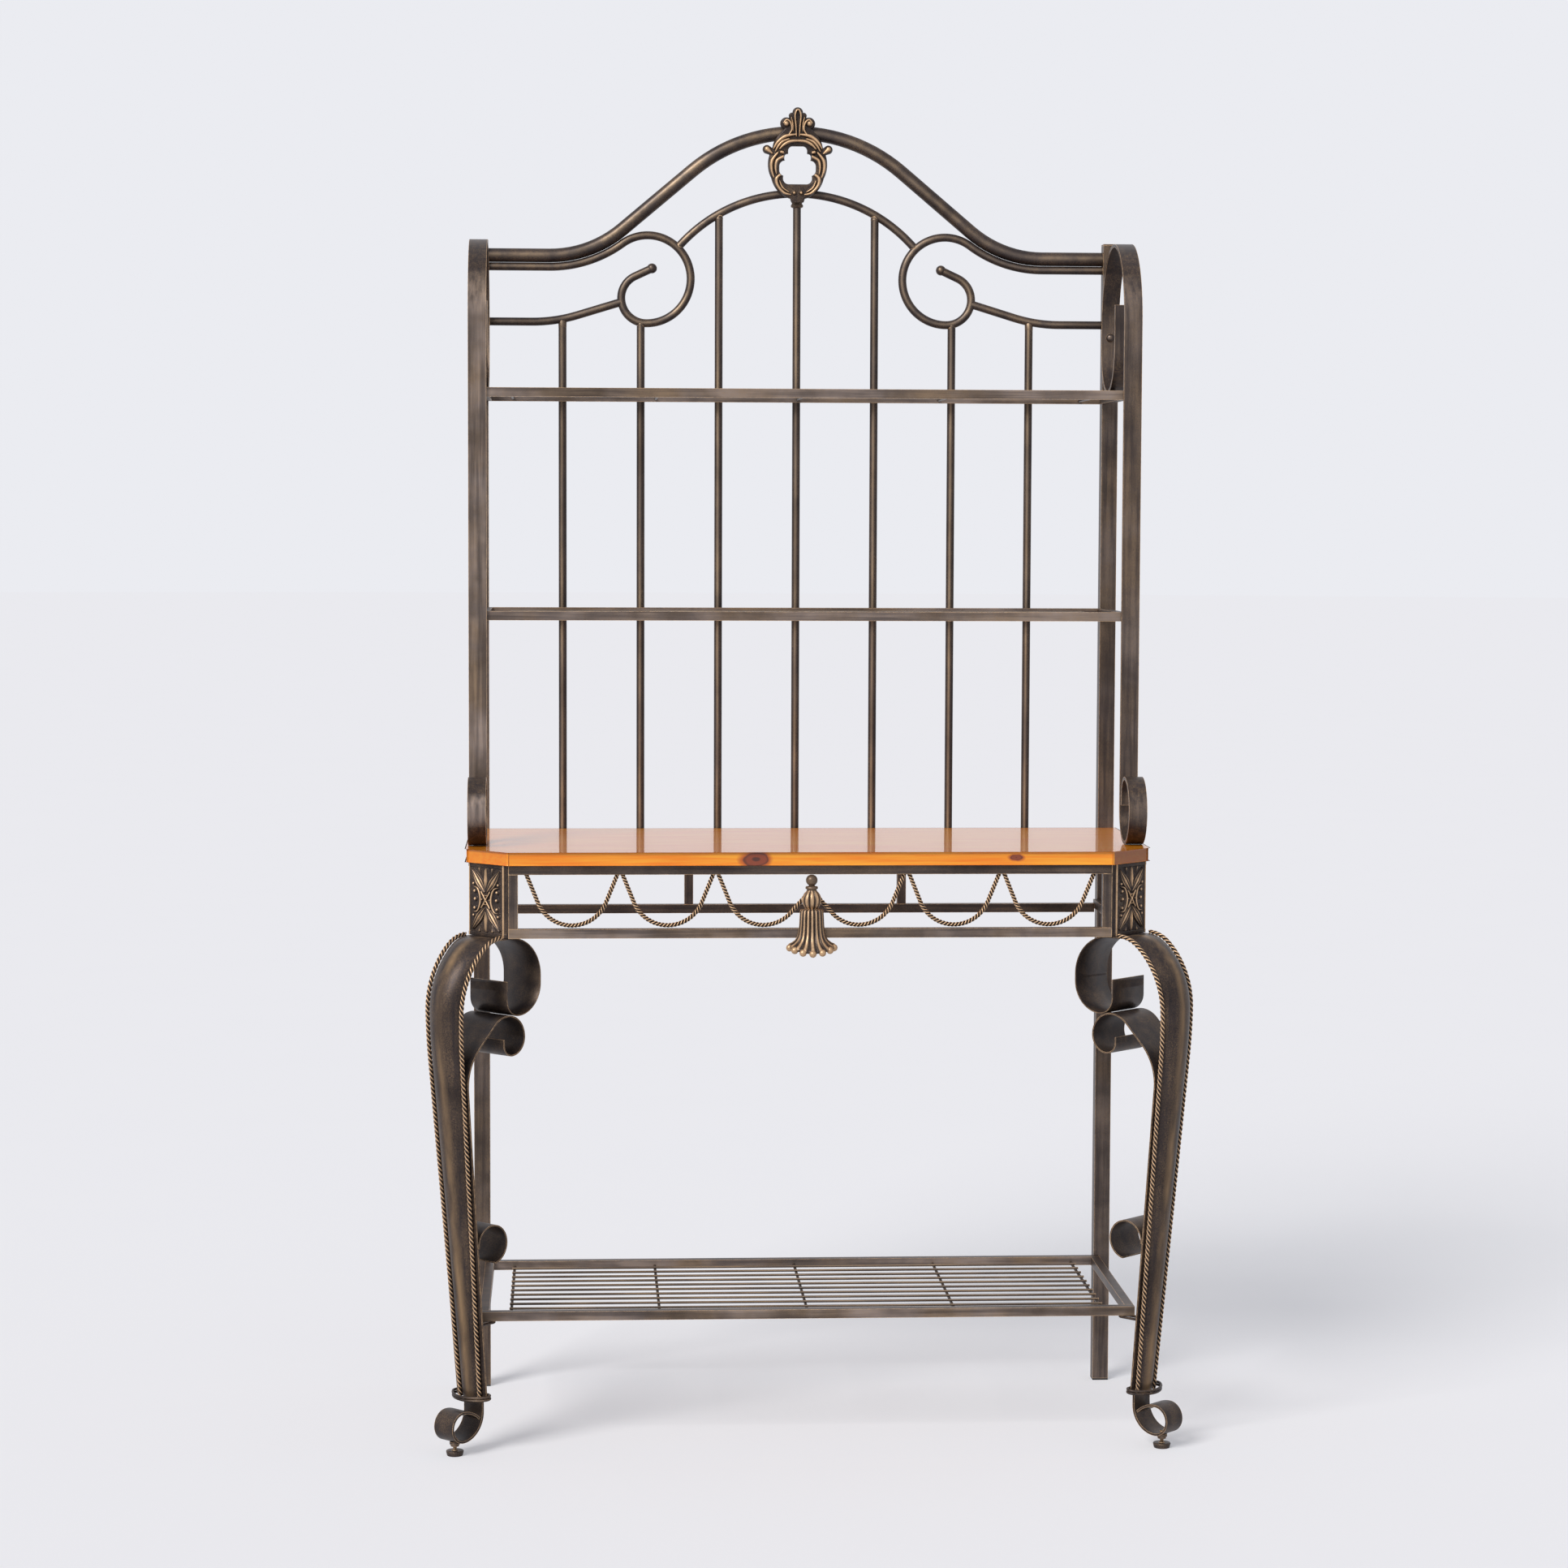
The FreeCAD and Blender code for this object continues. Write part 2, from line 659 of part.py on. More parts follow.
def rope_swags():
    """Three swags a side, trimmed under the rail and against the tassel."""
    rail = box(-COUNTER_WIDTH, COUNTER_WIDTH, 0, 4 * RAIL, APRON_TOP - RAIL - WELD_GAP, COUNTER_TOP)
    boss = cylinder(TASSEL_BEAD + WELD_GAP, vec(0, 0, TASSEL_BEAD_Z), vec(0, 4 * RAIL, TASSEL_BEAD_Z))
    ropes = []
    for index in range(SWAGS_A_SIDE):
        middle = SWAG_PITCH * (index + 0.5)
        edges = swag_edges(middle, None if index else TASSEL_BALL)
        rope = round_bar(edges, ROPE).cut(rail).cut(boss)
        ropes.append(max(rope.Solids, key=lambda solid: solid.Volume))
    return pair(group(ropes))


def tassel_outline():
    """Half outline of the turned tassel, from the axis in the ball down to the hem."""
    collar_top = APRON_TOP - RAIL - TASSEL_BALL - TASSEL_NECK
    collar_low = collar_top - TASSEL_NECK / 2
    bead_top, skirt_top = TASSEL_BEAD_Z + BEAD_RISE, TASSEL_BEAD_Z - BEAD_DROP
    flare = skirt_top - SKIRT_LENGTH
    hem = flare - HEM_DROP
    neck = [(0, collar_top + TASSEL_BALL / 2), (TASSEL_BALL / 2, collar_top + TASSEL_BALL / 2),
            (TASSEL_NECK, collar_top), (TASSEL_NECK, collar_low), (TASSEL_WAIST, bead_top)]
    cloth = [(TASSEL_WAIST, skirt_top), (SKIRT_TOP, skirt_top), (SKIRT_FLARE, flare)]
    close = [(SKIRT_HEM, hem), (SKIRT_HEM, hem - HEM_HEIGHT), (0, hem - HEM_HEIGHT), neck[0]]
    curves = [(neck[-1], (TASSEL_BEAD, TASSEL_BEAD_Z), cloth[0]),
              (cloth[-1], (SKIRT_FLARE + HEM_DROP / 4, flare - HEM_DROP / 2), close[0])]
    edges = [Part.makeLine(vec(a[0], 0, a[1]), vec(b[0], 0, b[1]))
             for path in (neck, cloth, close) for a, b in zip(path, path[1:])]
    edges += [Part.Arc(*[vec(x, 0, z) for x, z in curve]).toShape() for curve in curves]
    return Part.Wire(Part.sortEdges(edges)[0])


def tassel():
    """Half-round casting: ball, collar, bead, flared skirt and a ring of drops under the hem."""
    body = Part.Face(tassel_outline()).revolve(vec(0, 0, 0), UP, 360)
    lumps = [body, ball(TASSEL_BALL, vec(0, 0, APRON_TOP - RAIL - TASSEL_BALL))]
    reach = SKIRT_HEM - DROP_BALL / 2
    hem = body.BoundBox.ZMin
    for index in range(DROP_BALLS):
        angle = math.radians(-90.0 + (index - DROP_BALLS // 2) * DROP_TURN)
        centre = vec(reach * math.cos(angle), reach * math.sin(angle), hem)
        lumps.append(ball(DROP_BALL, centre))
    half = fuse(lumps).common(box(-COUNTER_WIDTH, COUNTER_WIDTH, -COUNTER_WIDTH, 0, 0, APRON_TOP))
    half.translate(vec(0, TASSEL_BACK, 0))
    return fuse([half, tassel_boss()])


# ---- shelves ----------------------------------------------------------------------------------

def shelf_rails(top, front):
    """Front, rear and side rails of one shelf frame."""
    half, low = FRAME_HALF, top - RAIL
    front_tube = square_tube(-half, half, front, front + RAIL, low, top, RAIL_WALL)
    rear_tube = square_tube(-half, half, POST_FACE - RAIL, POST_FACE, low, top, RAIL_WALL)
    side_tube = square_tube(half - RAIL, half, front + RAIL, POST_FACE - RAIL, low, top, RAIL_WALL)
    return front_tube, rear_tube, pair(side_tube)


def shelf_wires(top, front):
    """Long wires lying on cross wires, inside the frame."""
    near, far = front + RAIL, POST_FACE - RAIL
    reach = FRAME_HALF - RAIL
    height = top - WIRE_DROP
    count = round((far - near) / WIRE_PITCH) - 1
    pitch = (far - near) / (count + 1)
    wires = []
    for index in range(1, count + 1):
        y = near + pitch * index
        wires.append(cylinder(LONG_WIRE / 2, vec(-reach, y, height), vec(reach, y, height)))
    below = height - (LONG_WIRE + CROSS_WIRE) / 2 - WELD_GAP
    for index in range(CROSS_WIRES):
        x = CROSS_PITCH * (index - (CROSS_WIRES - 1) / 2)
        wires.append(cylinder(CROSS_WIRE / 2, vec(x, near, below), vec(x, far, below)))
    return group(wires)


def shelf_hanger():
    """Hairpin of wire from the leg's back strip under the lower shelf's front corner."""
    z = LOWER_TOP - RAIL - WELD_GAP - HANGER_WIRE / 2
    start = back_face(z) - WELD_GAP
    corner = (FRAME_HALF + LOWER_FRONT - COUNTER_WIDTH / 2) / math.sqrt(2)
    reach = start - corner + RAIL / 2
    pen = Pen((start, HANGER_HALF), 180.0).straight(reach).arc(HANGER_HALF, 180.0).straight(reach)
    return round_bar(pen.edges(0.0, lambda s, u: vec(s, u, z)), HANGER_WIRE)


# ---- hutch ------------------------------------------------------------------------------------

def post_tube(bottom, top):
    return square_tube(POST_X - POST / 2, POST_X + POST / 2, POST_FACE, POST_FACE + POST, bottom, top,
                       POST_WALL)


def in_tube(half, bottom, top):
    """A square block on the right-hand post's axis."""
    return box(POST_X - half, POST_X + half, POST_MID - half, POST_MID + half, bottom, top)


def tube_plug(plate_bottom, plate_top, plug_bottom, plug_top):
    plate = in_tube(POST / 2, plate_bottom, plate_top)
    plug = in_tube(POST / 2 - POST_WALL - WELD_GAP, plug_bottom, plug_top)
    return fuse([plate, plug])


def post_spigots():
    half = POST / 2 - POST_WALL - WELD_GAP
    low, high = POST_JOINT - SPIGOT_LENGTH / 2, POST_JOINT + SPIGOT_LENGTH / 2
    return pair(in_tube(half, low, high).cut(in_tube(half - SPIGOT_WALL, low, high)))


def crest_half():
    """Right half of the crest line, drawn from the post to the crown."""
    turn = math.radians(CREST_TURN)
    bend = (CREST_FOOT_RADIUS + CREST_TOP_RADIUS) * (1 - math.cos(turn))
    link = (CROWN_RISE - bend) / math.sin(turn)
    across = (CREST_FOOT_RADIUS + CREST_TOP_RADIUS) * math.sin(turn) + link * math.cos(turn)
    post = POST_X - POST / 2
    pen = Pen((post, CREST_Z), 180.0).straight(post - across)
    pen.arc(CREST_FOOT_RADIUS, -CREST_TURN).straight(link).arc(CREST_TOP_RADIUS, CREST_TURN)
    return pen


def in_back(x, z):
    return vec(x, POST_MID, z)


def crest_tube():
    half = crest_half()
    turn = 2 * CREST_TURN
    whole = Pen(half.pieces[0][1], 180.0)
    straight, foot, link = half.pieces[:3]
    whole.straight(straight[3]).arc(foot[3], -CREST_TURN).straight(link[3])
    whole.arc(CREST_TOP_RADIUS, turn)
    whole.straight(link[3]).arc(foot[3], -CREST_TURN).straight(straight[3])
    return round_bar(whole.edges(0.0, in_back), CREST_TUBE)


def scroll_line():
    """Right-hand scroll rod: along under the crest tube, then round into its spiral."""
    drop = (CREST_TUBE + ROD) / 2 + SEAT_GAP
    half = crest_half()
    pen = Pen((half.pieces[0][1][0], CREST_Z - drop), 180.0).straight(half.pieces[0][3])
    pen.arc(CREST_FOOT_RADIUS + drop, -SCROLL_ROD_TURN)
    for radius, turn in SCROLL_ROD_RADII:
        pen.arc(radius, turn)
    return pen


def scroll_sweep(diameter):
    return round_bar(scroll_line().edges(0.0, in_back), diameter)


def scroll_rod():
    """The rod with its ball, whose axis follows the rod's end."""
    end = scroll_line()
    heading = math.radians(end.heading)
    along = in_back(math.cos(heading), math.sin(heading)) - in_back(0, 0)
    return fuse([scroll_sweep(ROD), ball(BALL / 2, in_back(*end.point), along)])


def wing_rod():
    """Flat from the post, then up to the scroll's outer side, coped to it."""
    post = POST_X - POST / 2
    pen = Pen((post, WING_Z), 180.0).straight(post - WING_BEND_X - ROD)
    pen.arc(WING_BEND_RADIUS, -WING_SLOPE).straight(WING_REACH)
    rod = round_bar(pen.edges(0.0, in_back), ROD).cut(scroll_sweep(ROD + 2 * WELD_GAP))
    return max(rod.Solids, key=lambda solid: solid.BoundBox.XMax)


def arch_rod():
    """Arch between the two scrolls, coped to both."""
    centre = (0.0, ARCH_TOP - ARCH_RADIUS)
    angle = math.radians(90.0 - ARCH_HALF_ANGLE)
    start = (centre[0] + ARCH_RADIUS * math.cos(angle), centre[1] + ARCH_RADIUS * math.sin(angle))
    pen = Pen(start, 180.0 - ARCH_HALF_ANGLE).arc(ARCH_RADIUS, 2 * ARCH_HALF_ANGLE)
    cutter = scroll_sweep(ROD + 2 * WELD_GAP)
    rod = round_bar(pen.edges(0.0, in_back), ROD).cut(cutter).cut(mirrored(cutter))
    return max(rod.Solids, key=lambda solid: solid.BoundBox.ZMax)


def arch_sweep(diameter):
    pen = Pen((ARCH_RADIUS, ARCH_TOP - ARCH_RADIUS), 90.0).arc(ARCH_RADIUS, 180.0)
    return round_bar(pen.edges(0.0, in_back), diameter)


def back_rods():
    """Upright rods, each coped under the rod that crosses it."""
    grown = ROD + 2 * WELD_GAP
    scroll = scroll_sweep(grown)
    wing = cylinder(grown / 2, in_back(WING_BEND_X - 2 * ROD, WING_Z), in_back(POST_X, WING_Z))
    arch = arch_sweep(grown)
    tops = {1: (arch, ARCH_TOP), 2: (scroll, WING_Z), 3: (wing, WING_Z)}
    middle_top = rod_collar_bottom() - WELD_GAP
    rods = [cylinder(BACK_ROD / 2, in_back(0, HUTCH_RAIL_TOP), in_back(0, middle_top))]
    for index in range(1, ROD_COUNT // 2 + 1):
        cutter, top = tops[index]
        x = ROD_PITCH * index
        rod = cylinder(BACK_ROD / 2, in_back(x, HUTCH_RAIL_TOP), in_back(x, top)).cut(cutter)
        rods.append(pair(min(rod.Solids, key=lambda solid: solid.BoundBox.ZMin)))
    return group(rods)


def hutch_bottom_rail():
    half = POST_X - POST / 2
    return square_tube(-half, half, POST_MID - RAIL / 2, POST_MID + RAIL / 2,
                       HUTCH_RAIL_TOP - RAIL, HUTCH_RAIL_TOP, RAIL_WALL)


def bar_line():
    """Side bar seen from the side, by distance ahead of the post's face: hook, bow, upright, scroll."""
    hook_z = UPPER_TOP + SEAT_GAP + BAR_THICK / 2 + BAR_HOOK
    scroll_z = COUNTER_TOP + SEAT_GAP + BAR_THICK / 2 + BAR_SCROLL
    pen = Pen((2 * BAR_HOOK + BAR_THICK / 2, hook_z + BAR_HOOK_END), 270.0).straight(BAR_HOOK_END)
    pen.arc(BAR_HOOK, -180.0).straight(BAR_BOW_Z - hook_z).arc(BAR_BOW, -180.0)
    pen.straight(BAR_BOW_Z - scroll_z).arc(BAR_SCROLL, 270.0)
    return pen.arc(BAR_SCROLL_INNER, 90.0).straight(BAR_SCROLL_END)


def bolt_hole():
    """Clearance hole for the right-hand bolt, through bar and post."""
    x = (COUNTER_WIDTH - BAR_WIDTH) / 2
    reach = 2 * POST
    return cylinder(BOLT / 2 + BOLT_FIT, vec(x, POST_FACE - 2 * BAR_THICK, BOLT_Z),
                    vec(x, POST_FACE + reach, BOLT_Z))


def side_bar():
    x = COUNTER_WIDTH / 2 - BAR_WIDTH
    across = vec(BAR_WIDTH, 0, 0)
    bar = flat_bar(bar_line(), BAR_THICK, lambda ahead, z: vec(x, POST_FACE - ahead, z), across)
    return bar.cut(bolt_hole())


def bar_bolts():
    """Dome-headed bolt through bar and post, with a nut behind the post."""
    x = (COUNTER_WIDTH - BAR_WIDTH) / 2
    face, back = POST_FACE - BAR_THICK - WELD_GAP, POST_FACE + POST + WELD_GAP
    shank = cylinder(BOLT / 2, vec(x, face, BOLT_Z), vec(x, back + NUT_THICK, BOLT_Z))
    radius = (BOLT_HEAD ** 2 / 4 + BOLT_HEAD_HEIGHT ** 2) / (2 * BOLT_HEAD_HEIGHT)
    dome = Part.makeSphere(radius, vec(x, face + radius - BOLT_HEAD_HEIGHT, BOLT_Z))
    head = dome.common(box(x - BOLT_HEAD, x + BOLT_HEAD, face - BOLT_HEAD, face,
                           BOLT_Z - BOLT_HEAD, BOLT_Z + BOLT_HEAD))
    nut = cylinder(BOLT, vec(x, back, BOLT_Z), vec(x, back + NUT_THICK, BOLT_Z))
    return pair(fuse([head, shank, nut]))


def hutch_post():
    return post_tube(POST_JOINT, POST_TOP - CAP_PLATE).cut(bolt_hole())


def rod_collar_bottom():
    return CARTOUCHE_Z - CARTOUCHE_RADIUS - ROD_COLLAR_DROP


def cartouche():
    """Cast cartouche before arch and crest: pierced ring, ears, palmette and a collar on the rod."""
    back = POST_MID - CREST_TUBE / 2 - SEAT_GAP
    front = back - CARTOUCHE_THICK
    top = CARTOUCHE_Z + CARTOUCHE_RISE

    def disc(x, z, radius):
        return cylinder(radius, vec(x, front, CARTOUCHE_Z + z), vec(x, back, CARTOUCHE_Z + z))

    def block(half, low, high):
        return box(-half, half, front, back, low, high)

    plates = [disc(0, 0, CARTOUCHE_RADIUS), disc(0, CARTOUCHE_RISE - FINIAL, FINIAL)]
    plates += [disc(side * EAR_X, EAR_Z, EAR) for _, side in SIDES]
    plates += [disc(side * VOLUTE_X, VOLUTE_Z, VOLUTE) for _, side in SIDES]
    plates.append(block(SHOULDER_HALF, CARTOUCHE_Z + NECK_LOW, CARTOUCHE_Z + SHOULDER_HEIGHT))
    plates.append(block(NECK_HALF, CARTOUCHE_Z + NECK_LOW, CARTOUCHE_Z + VOLUTE_Z))
    plates.append(block(SPINE_HALF, CARTOUCHE_Z + VOLUTE_Z, top - FINIAL))
    body = fuse(plates).cut(fuse([disc(*lobe) for lobe in OPENING_LOBES]))
    bottom = rod_collar_bottom()
    collar = Part.makeCylinder(ROD_COLLAR, ROD_COLLAR_HEIGHT, vec(0, POST_MID, bottom))
    arm_back = POST_MID - ROD / 2 - SEAT_GAP
    arm = box(-ARM_HALF, ARM_HALF, front, arm_back, bottom, CARTOUCHE_Z - CARTOUCHE_RADIUS + ROD_COLLAR)
    rest_z = ARCH_TOP - ARCH_RADIUS + math.sqrt(ARCH_RADIUS ** 2 - REST_X ** 2)
    rests = [cylinder(REST, vec(side * REST_X, back, rest_z), vec(side * REST_X, arm_back, rest_z))
             for _, side in SIDES]
    return fuse([body, collar, arm] + rests)


# ---- assembly ---------------------------------------------------------------------------------

def shelf_nodes(name, top, front):
    front_tube, rear_tube, side_tubes = shelf_rails(top, front)
    return {name + "_shelf_front_rail": front_tube, name + "_shelf_rear_rail": rear_tube,
            name + "_shelf_side_rails": side_tubes, name + "_shelf_wires": shelf_wires(top, front)}


def leg_nodes():
    """Both front legs, and the groups of small pieces they share."""
    nodes = {}
    parts = {"leg_strip": leg_strip(), "leg_back_strip": back_strip(), "leg_ring_scroll": lower_ring(),
             "leg_rope_trims": rope_trims(), "foot_scroll": foot_scroll(), "leveller": leveller()}
    for word, side in SIDES:
        for name, shape in parts.items():
            nodes[name + "_" + word] = at_corner(shape, side)
    rings = group([collar_ring(height) for height in COLLAR_HEIGHTS])
    nodes["ankle_rings"] = group([at_corner(rings, side) for _, side in SIDES])
    nodes["foot_nuts"] = group([at_corner(foot_nut(), side) for _, side in SIDES])
    nodes["lower_shelf_hangers"] = group([at_corner(shelf_hanger(), side) for _, side in SIDES])
    return nodes


def handed_nodes():
    """Pieces that come as a left and a right one, each drawn as the right one."""
    parts = {"corner_casing": at_corner(corner_casing(), 1), "corner_plate": at_corner(corner_plate(), 1),
             "side_apron_rails": side_apron(), "rear_leg": post_tube(FOOT_PLATE, POST_JOINT),
             "hutch_post": hutch_post(), "side_bar": side_bar(), "scroll_rod": scroll_rod()}
    nodes = {}
    for name, shape in parts.items():
        nodes[name + "_left"] = mirrored(shape)
        nodes[name + "_right"] = shape
    return nodes


def build():
    upper_front = POST_FACE - 2 * BAR_BOW - BAR_THICK + SEAT_GAP
    nodes = {"counter_top": counter_top(), "front_apron_top_rail": front_rail(APRON_TOP - RAIL),
             "front_apron_bottom_rail": front_rail(APRON_BOTTOM),
             "rear_apron_top_rail": rear_rail(APRON_TOP - RAIL),
             "rear_apron_bottom_rail": rear_rail(REAR_APRON_BOTTOM), "apron_uprights": apron_uprights(),
             "rope_swags": rope_swags(), "tassel": tassel()}
    nodes.update(handed_nodes())
    nodes.update(leg_nodes())
    nodes.update(shelf_nodes("lower", LOWER_TOP, LOWER_FRONT))
    nodes.update(shelf_nodes("middle", MIDDLE_TOP, upper_front + BAR_THICK))
    nodes.update(shelf_nodes("upper", UPPER_TOP, upper_front + BAR_THICK))
    nodes["rear_leg_feet"] = pair(tube_plug(0, FOOT_PLATE, FOOT_PLATE, PLUG_LENGTH))
    cap_bottom = POST_TOP - CAP_PLATE
    nodes["post_caps"] = pair(tube_plug(cap_bottom, POST_TOP, POST_TOP - PLUG_LENGTH, cap_bottom))
    nodes["post_spigots"] = post_spigots()
    nodes["crest_tube"] = crest_tube()
    nodes["wing_rods"] = pair(wing_rod())
    nodes["arch_rod"] = arch_rod()
    nodes["back_rods"] = back_rods()
    nodes["hutch_bottom_rail"] = hutch_bottom_rail()
    nodes["bar_bolts"] = bar_bolts()
    nodes["cartouche"] = cartouche()
    return nodes


def save(nodes):
    """Move the origin to the middle of the bounding box on the floor, then write one file a node."""
    os.makedirs("parts", exist_ok=True)
    bounds = FreeCAD.BoundBox()
    for shape in nodes.values():
        bounds.add(shape.optimalBoundingBox(False))
    shift = vec(-bounds.Center.x, -bounds.Center.y, -bounds.ZMin)
    for name, shape in nodes.items():
        moved = shape.copy()
        moved.translate(shift)
        moved.exportStep(os.path.join("parts", name + ".step"))


save(build())
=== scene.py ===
"""Bakers rack in a plain studio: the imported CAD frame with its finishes, ropes, castings and counter."""

import math

import bmesh
import bpy
import numpy as np
from mathutils import Matrix, Vector


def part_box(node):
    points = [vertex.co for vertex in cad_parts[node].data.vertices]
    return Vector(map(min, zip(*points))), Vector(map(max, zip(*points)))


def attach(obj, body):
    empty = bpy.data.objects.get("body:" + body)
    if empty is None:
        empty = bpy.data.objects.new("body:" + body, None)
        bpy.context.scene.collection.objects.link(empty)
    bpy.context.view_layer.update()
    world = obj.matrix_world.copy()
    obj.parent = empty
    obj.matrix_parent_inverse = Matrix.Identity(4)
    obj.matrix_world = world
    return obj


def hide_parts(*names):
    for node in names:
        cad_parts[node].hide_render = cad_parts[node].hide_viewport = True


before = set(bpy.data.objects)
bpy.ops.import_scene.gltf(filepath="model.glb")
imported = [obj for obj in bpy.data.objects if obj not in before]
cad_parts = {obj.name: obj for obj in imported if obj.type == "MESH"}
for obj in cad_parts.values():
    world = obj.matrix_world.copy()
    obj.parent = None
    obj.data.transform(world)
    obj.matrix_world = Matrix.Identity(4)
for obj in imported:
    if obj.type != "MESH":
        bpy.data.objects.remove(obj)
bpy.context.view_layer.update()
bpy.context.scene.view_settings.view_transform = "Standard"

# Pieces are drawn in millimetres: X from the rack's middle, Y from the counter's front edge, Z from
# the floor.  make_object turns that into the frame's metres.
MM = 0.001
FRONT_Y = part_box("counter_top")[0][1]
HALF_WIDTH = 518.0
DEPTH = 416.0
COUNTER_LOW, COUNTER_HIGH = 890.0, 910.0
CORNER_CUT = 62.0
CORNER_X, CORNER_Y = HALF_WIDTH - CORNER_CUT / 2, CORNER_CUT / 2
POST_MID = 429.7
DIAGONAL = math.sqrt(0.5)
SIDES = (("left", -1), ("right", 1))


# ---- camera, light and floor ----

LENS = 83.86
SENSOR = 36.0
CAMERA_PLACE = Vector((-0.3601, FRONT_Y - 5.4525, 1.4165))
CAMERA_YAW = math.radians(3.334)
CAMERA_PITCH = math.radians(4.230)
CAMERA_ROLL = math.radians(0.205)
SUN_FROM = (-0.52, -0.60, 0.61)
SUN_STRENGTH = 2.6
SUN_SPREAD = 26.0
SUN_COLOUR = (1.0, 0.975, 0.94)
FILL = 0.36
FILL_COLOUR = (0.86, 0.88, 0.95)
BACKDROP = (0.83, 0.838, 0.88)
FLOOR_GLOW = 0.34
FLOOR_REACH = 60000.0
FLOOR_SIDES = 96


def add_object(name, data):
    made = bpy.data.objects.new(name, data)
    bpy.context.scene.collection.objects.link(made)
    return made


def make_camera():
    yaw, pitch, roll = CAMERA_YAW, CAMERA_PITCH, CAMERA_ROLL
    ahead = Vector((math.sin(yaw) * math.cos(pitch), math.cos(yaw) * math.cos(pitch), -math.sin(pitch)))
    level = Vector((math.cos(yaw), -math.sin(yaw), 0))
    up = level.cross(ahead)
    right = math.cos(roll) * level + math.sin(roll) * up
    up = math.cos(roll) * up - math.sin(roll) * level
    data = bpy.data.cameras.new("camera")
    data.lens = LENS
    data.sensor_width = SENSOR
    camera = add_object("camera", data)
    camera.matrix_world = Matrix.Translation(CAMERA_PLACE) @ Matrix((right, up, -ahead)).transposed().to_4x4()
    bpy.context.scene.camera = camera


def make_sun():
    """One large soft light, high on the left in front of the rack."""
    data = bpy.data.lights.new("key", "SUN")
    data.energy = SUN_STRENGTH
    data.angle = math.radians(SUN_SPREAD)
    data.color = SUN_COLOUR
    lamp = add_object("key", data)
    lamp.rotation_mode = "QUATERNION"
    lamp.rotation_quaternion = Vector(SUN_FROM).to_track_quat("Z", "Y")


def make_world():
    """Even fill light; what the camera and shiny surfaces see of it is the pale backdrop."""
    world = bpy.data.worlds.new("studio")
    bpy.context.scene.world = world
    tree = NodeTree(world)
    tree.nodes.clear()
    fill = tree.put("ShaderNodeBackground", {"Color": FILL_COLOUR, "Strength": FILL}).outputs[0]
    backdrop = tree.put("ShaderNodeBackground", {"Color": BACKDROP}).outputs[0]
    mix = tree.put("ShaderNodeMixShader", {0: tree.seen(), 1: fill, 2: backdrop}).outputs[0]
    tree.put("ShaderNodeOutputWorld", {0: mix})


def make_floor():
    """A wide flat sheet of paper."""
    points = [(FLOOR_REACH * math.cos(2 * math.pi * i / FLOOR_SIDES),
               FLOOR_REACH * math.sin(2 * math.pi * i / FLOOR_SIDES), 0.0) for i in range(FLOOR_SIDES)]
    make_object("paper_floor", points, [tuple(range(FLOOR_SIDES))], paper_material())


# ---- mesh helpers ----

def make_object(name, points, faces, material, rub=None, sharp_angle=None):
    """A mesh object from points in millimetres; rub gives each point's share of rubbed-through gold."""
    mesh = bpy.data.meshes.new(name)
    mesh.from_pydata([(x * MM, FRONT_Y + y * MM, z * MM) for x, y, z in points], [], faces)
    outward = bmesh.new()
    outward.from_mesh(mesh)
    bmesh.ops.recalc_face_normals(outward, faces=outward.faces)
    outward.to_mesh(mesh)
    outward.free()
    mesh.polygons.foreach_set("use_smooth", [True] * len(mesh.polygons))
    if sharp_angle is not None:
        mesh.set_sharp_from_angle(angle=math.radians(sharp_angle))
    if rub is not None:
        layer = mesh.attributes.new("rub", "FLOAT", "POINT")
        layer.data.foreach_set("value", [float(value) for value in rub])
    mesh.materials.append(material)
    return add_object(name, mesh)


def join_rings(faces, rings, count):
    """Faces between rings of count points, and one over each end."""
    for ring in range(rings - 1):
        for step in range(count):
            here, there = ring * count + step, ring * count + (step + 1) % count
            faces.append((here, there, there + count, here + count))
    faces.append(tuple(range(count))[::-1])
    faces.append(tuple((rings - 1) * count + step for step in range(count)))


def finish_piece(piece, slot, *nodes, body="rack"):
    """Says what a piece rides on and hides the CAD nodes that it stands in for; slot is not used."""
    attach(piece, body)
    if nodes:
        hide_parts(*nodes)
    return piece


# ---- lines ----

def walk(start, heading, moves, step):
    """Points along straights (length,) and tangent arcs (radius, degrees to the left) in a plane."""
    points = [start]
    angle = math.radians(heading)
    for move in moves:
        turn = math.radians(move[1]) if len(move) == 2 else 0.0
        length = move[0] * abs(turn) if turn else move[0]
        count = max(1, round(length / step))
        for _ in range(count):
            angle += turn / count / 2
            x, y = points[-1]
            points.append((x + length / count * math.cos(angle), y + length / count * math.sin(angle)))
            angle += turn / count / 2
    return points


def curve_through(points, steps=8):
    """Points on a smooth (Catmull-Rom) curve that passes through the given ones."""
    ends = [points[0]] + list(points) + [points[-1]]
    curve = []
    for before, start, end, after in zip(ends, ends[1:], ends[2:], ends[3:]):
        for step in range(steps):
            t = step / steps
            curve.append(tuple(
                0.5 * (2 * b + (c - a) * t + (2 * a - 5 * b + 4 * c - d) * t ** 2
                       + (3 * b - a - 3 * c + d) * t ** 3)
                for a, b, c, d in zip(before, start, end, after)))
    return curve + [points[-1]]


def along_path(path):
    """For each point of a path: the one before, itself, and two directions square to the path."""
    normal = (path[1] - path[0]).orthogonal().normalized()
    for index, centre in enumerate(path):
        before, after = path[max(index - 1, 0)], path[min(index + 1, len(path) - 1)]
        tangent = (after - before).normalized()
        normal = (normal - tangent * normal.dot(tangent)).normalized()
        yield before, centre, normal, tangent.cross(normal)


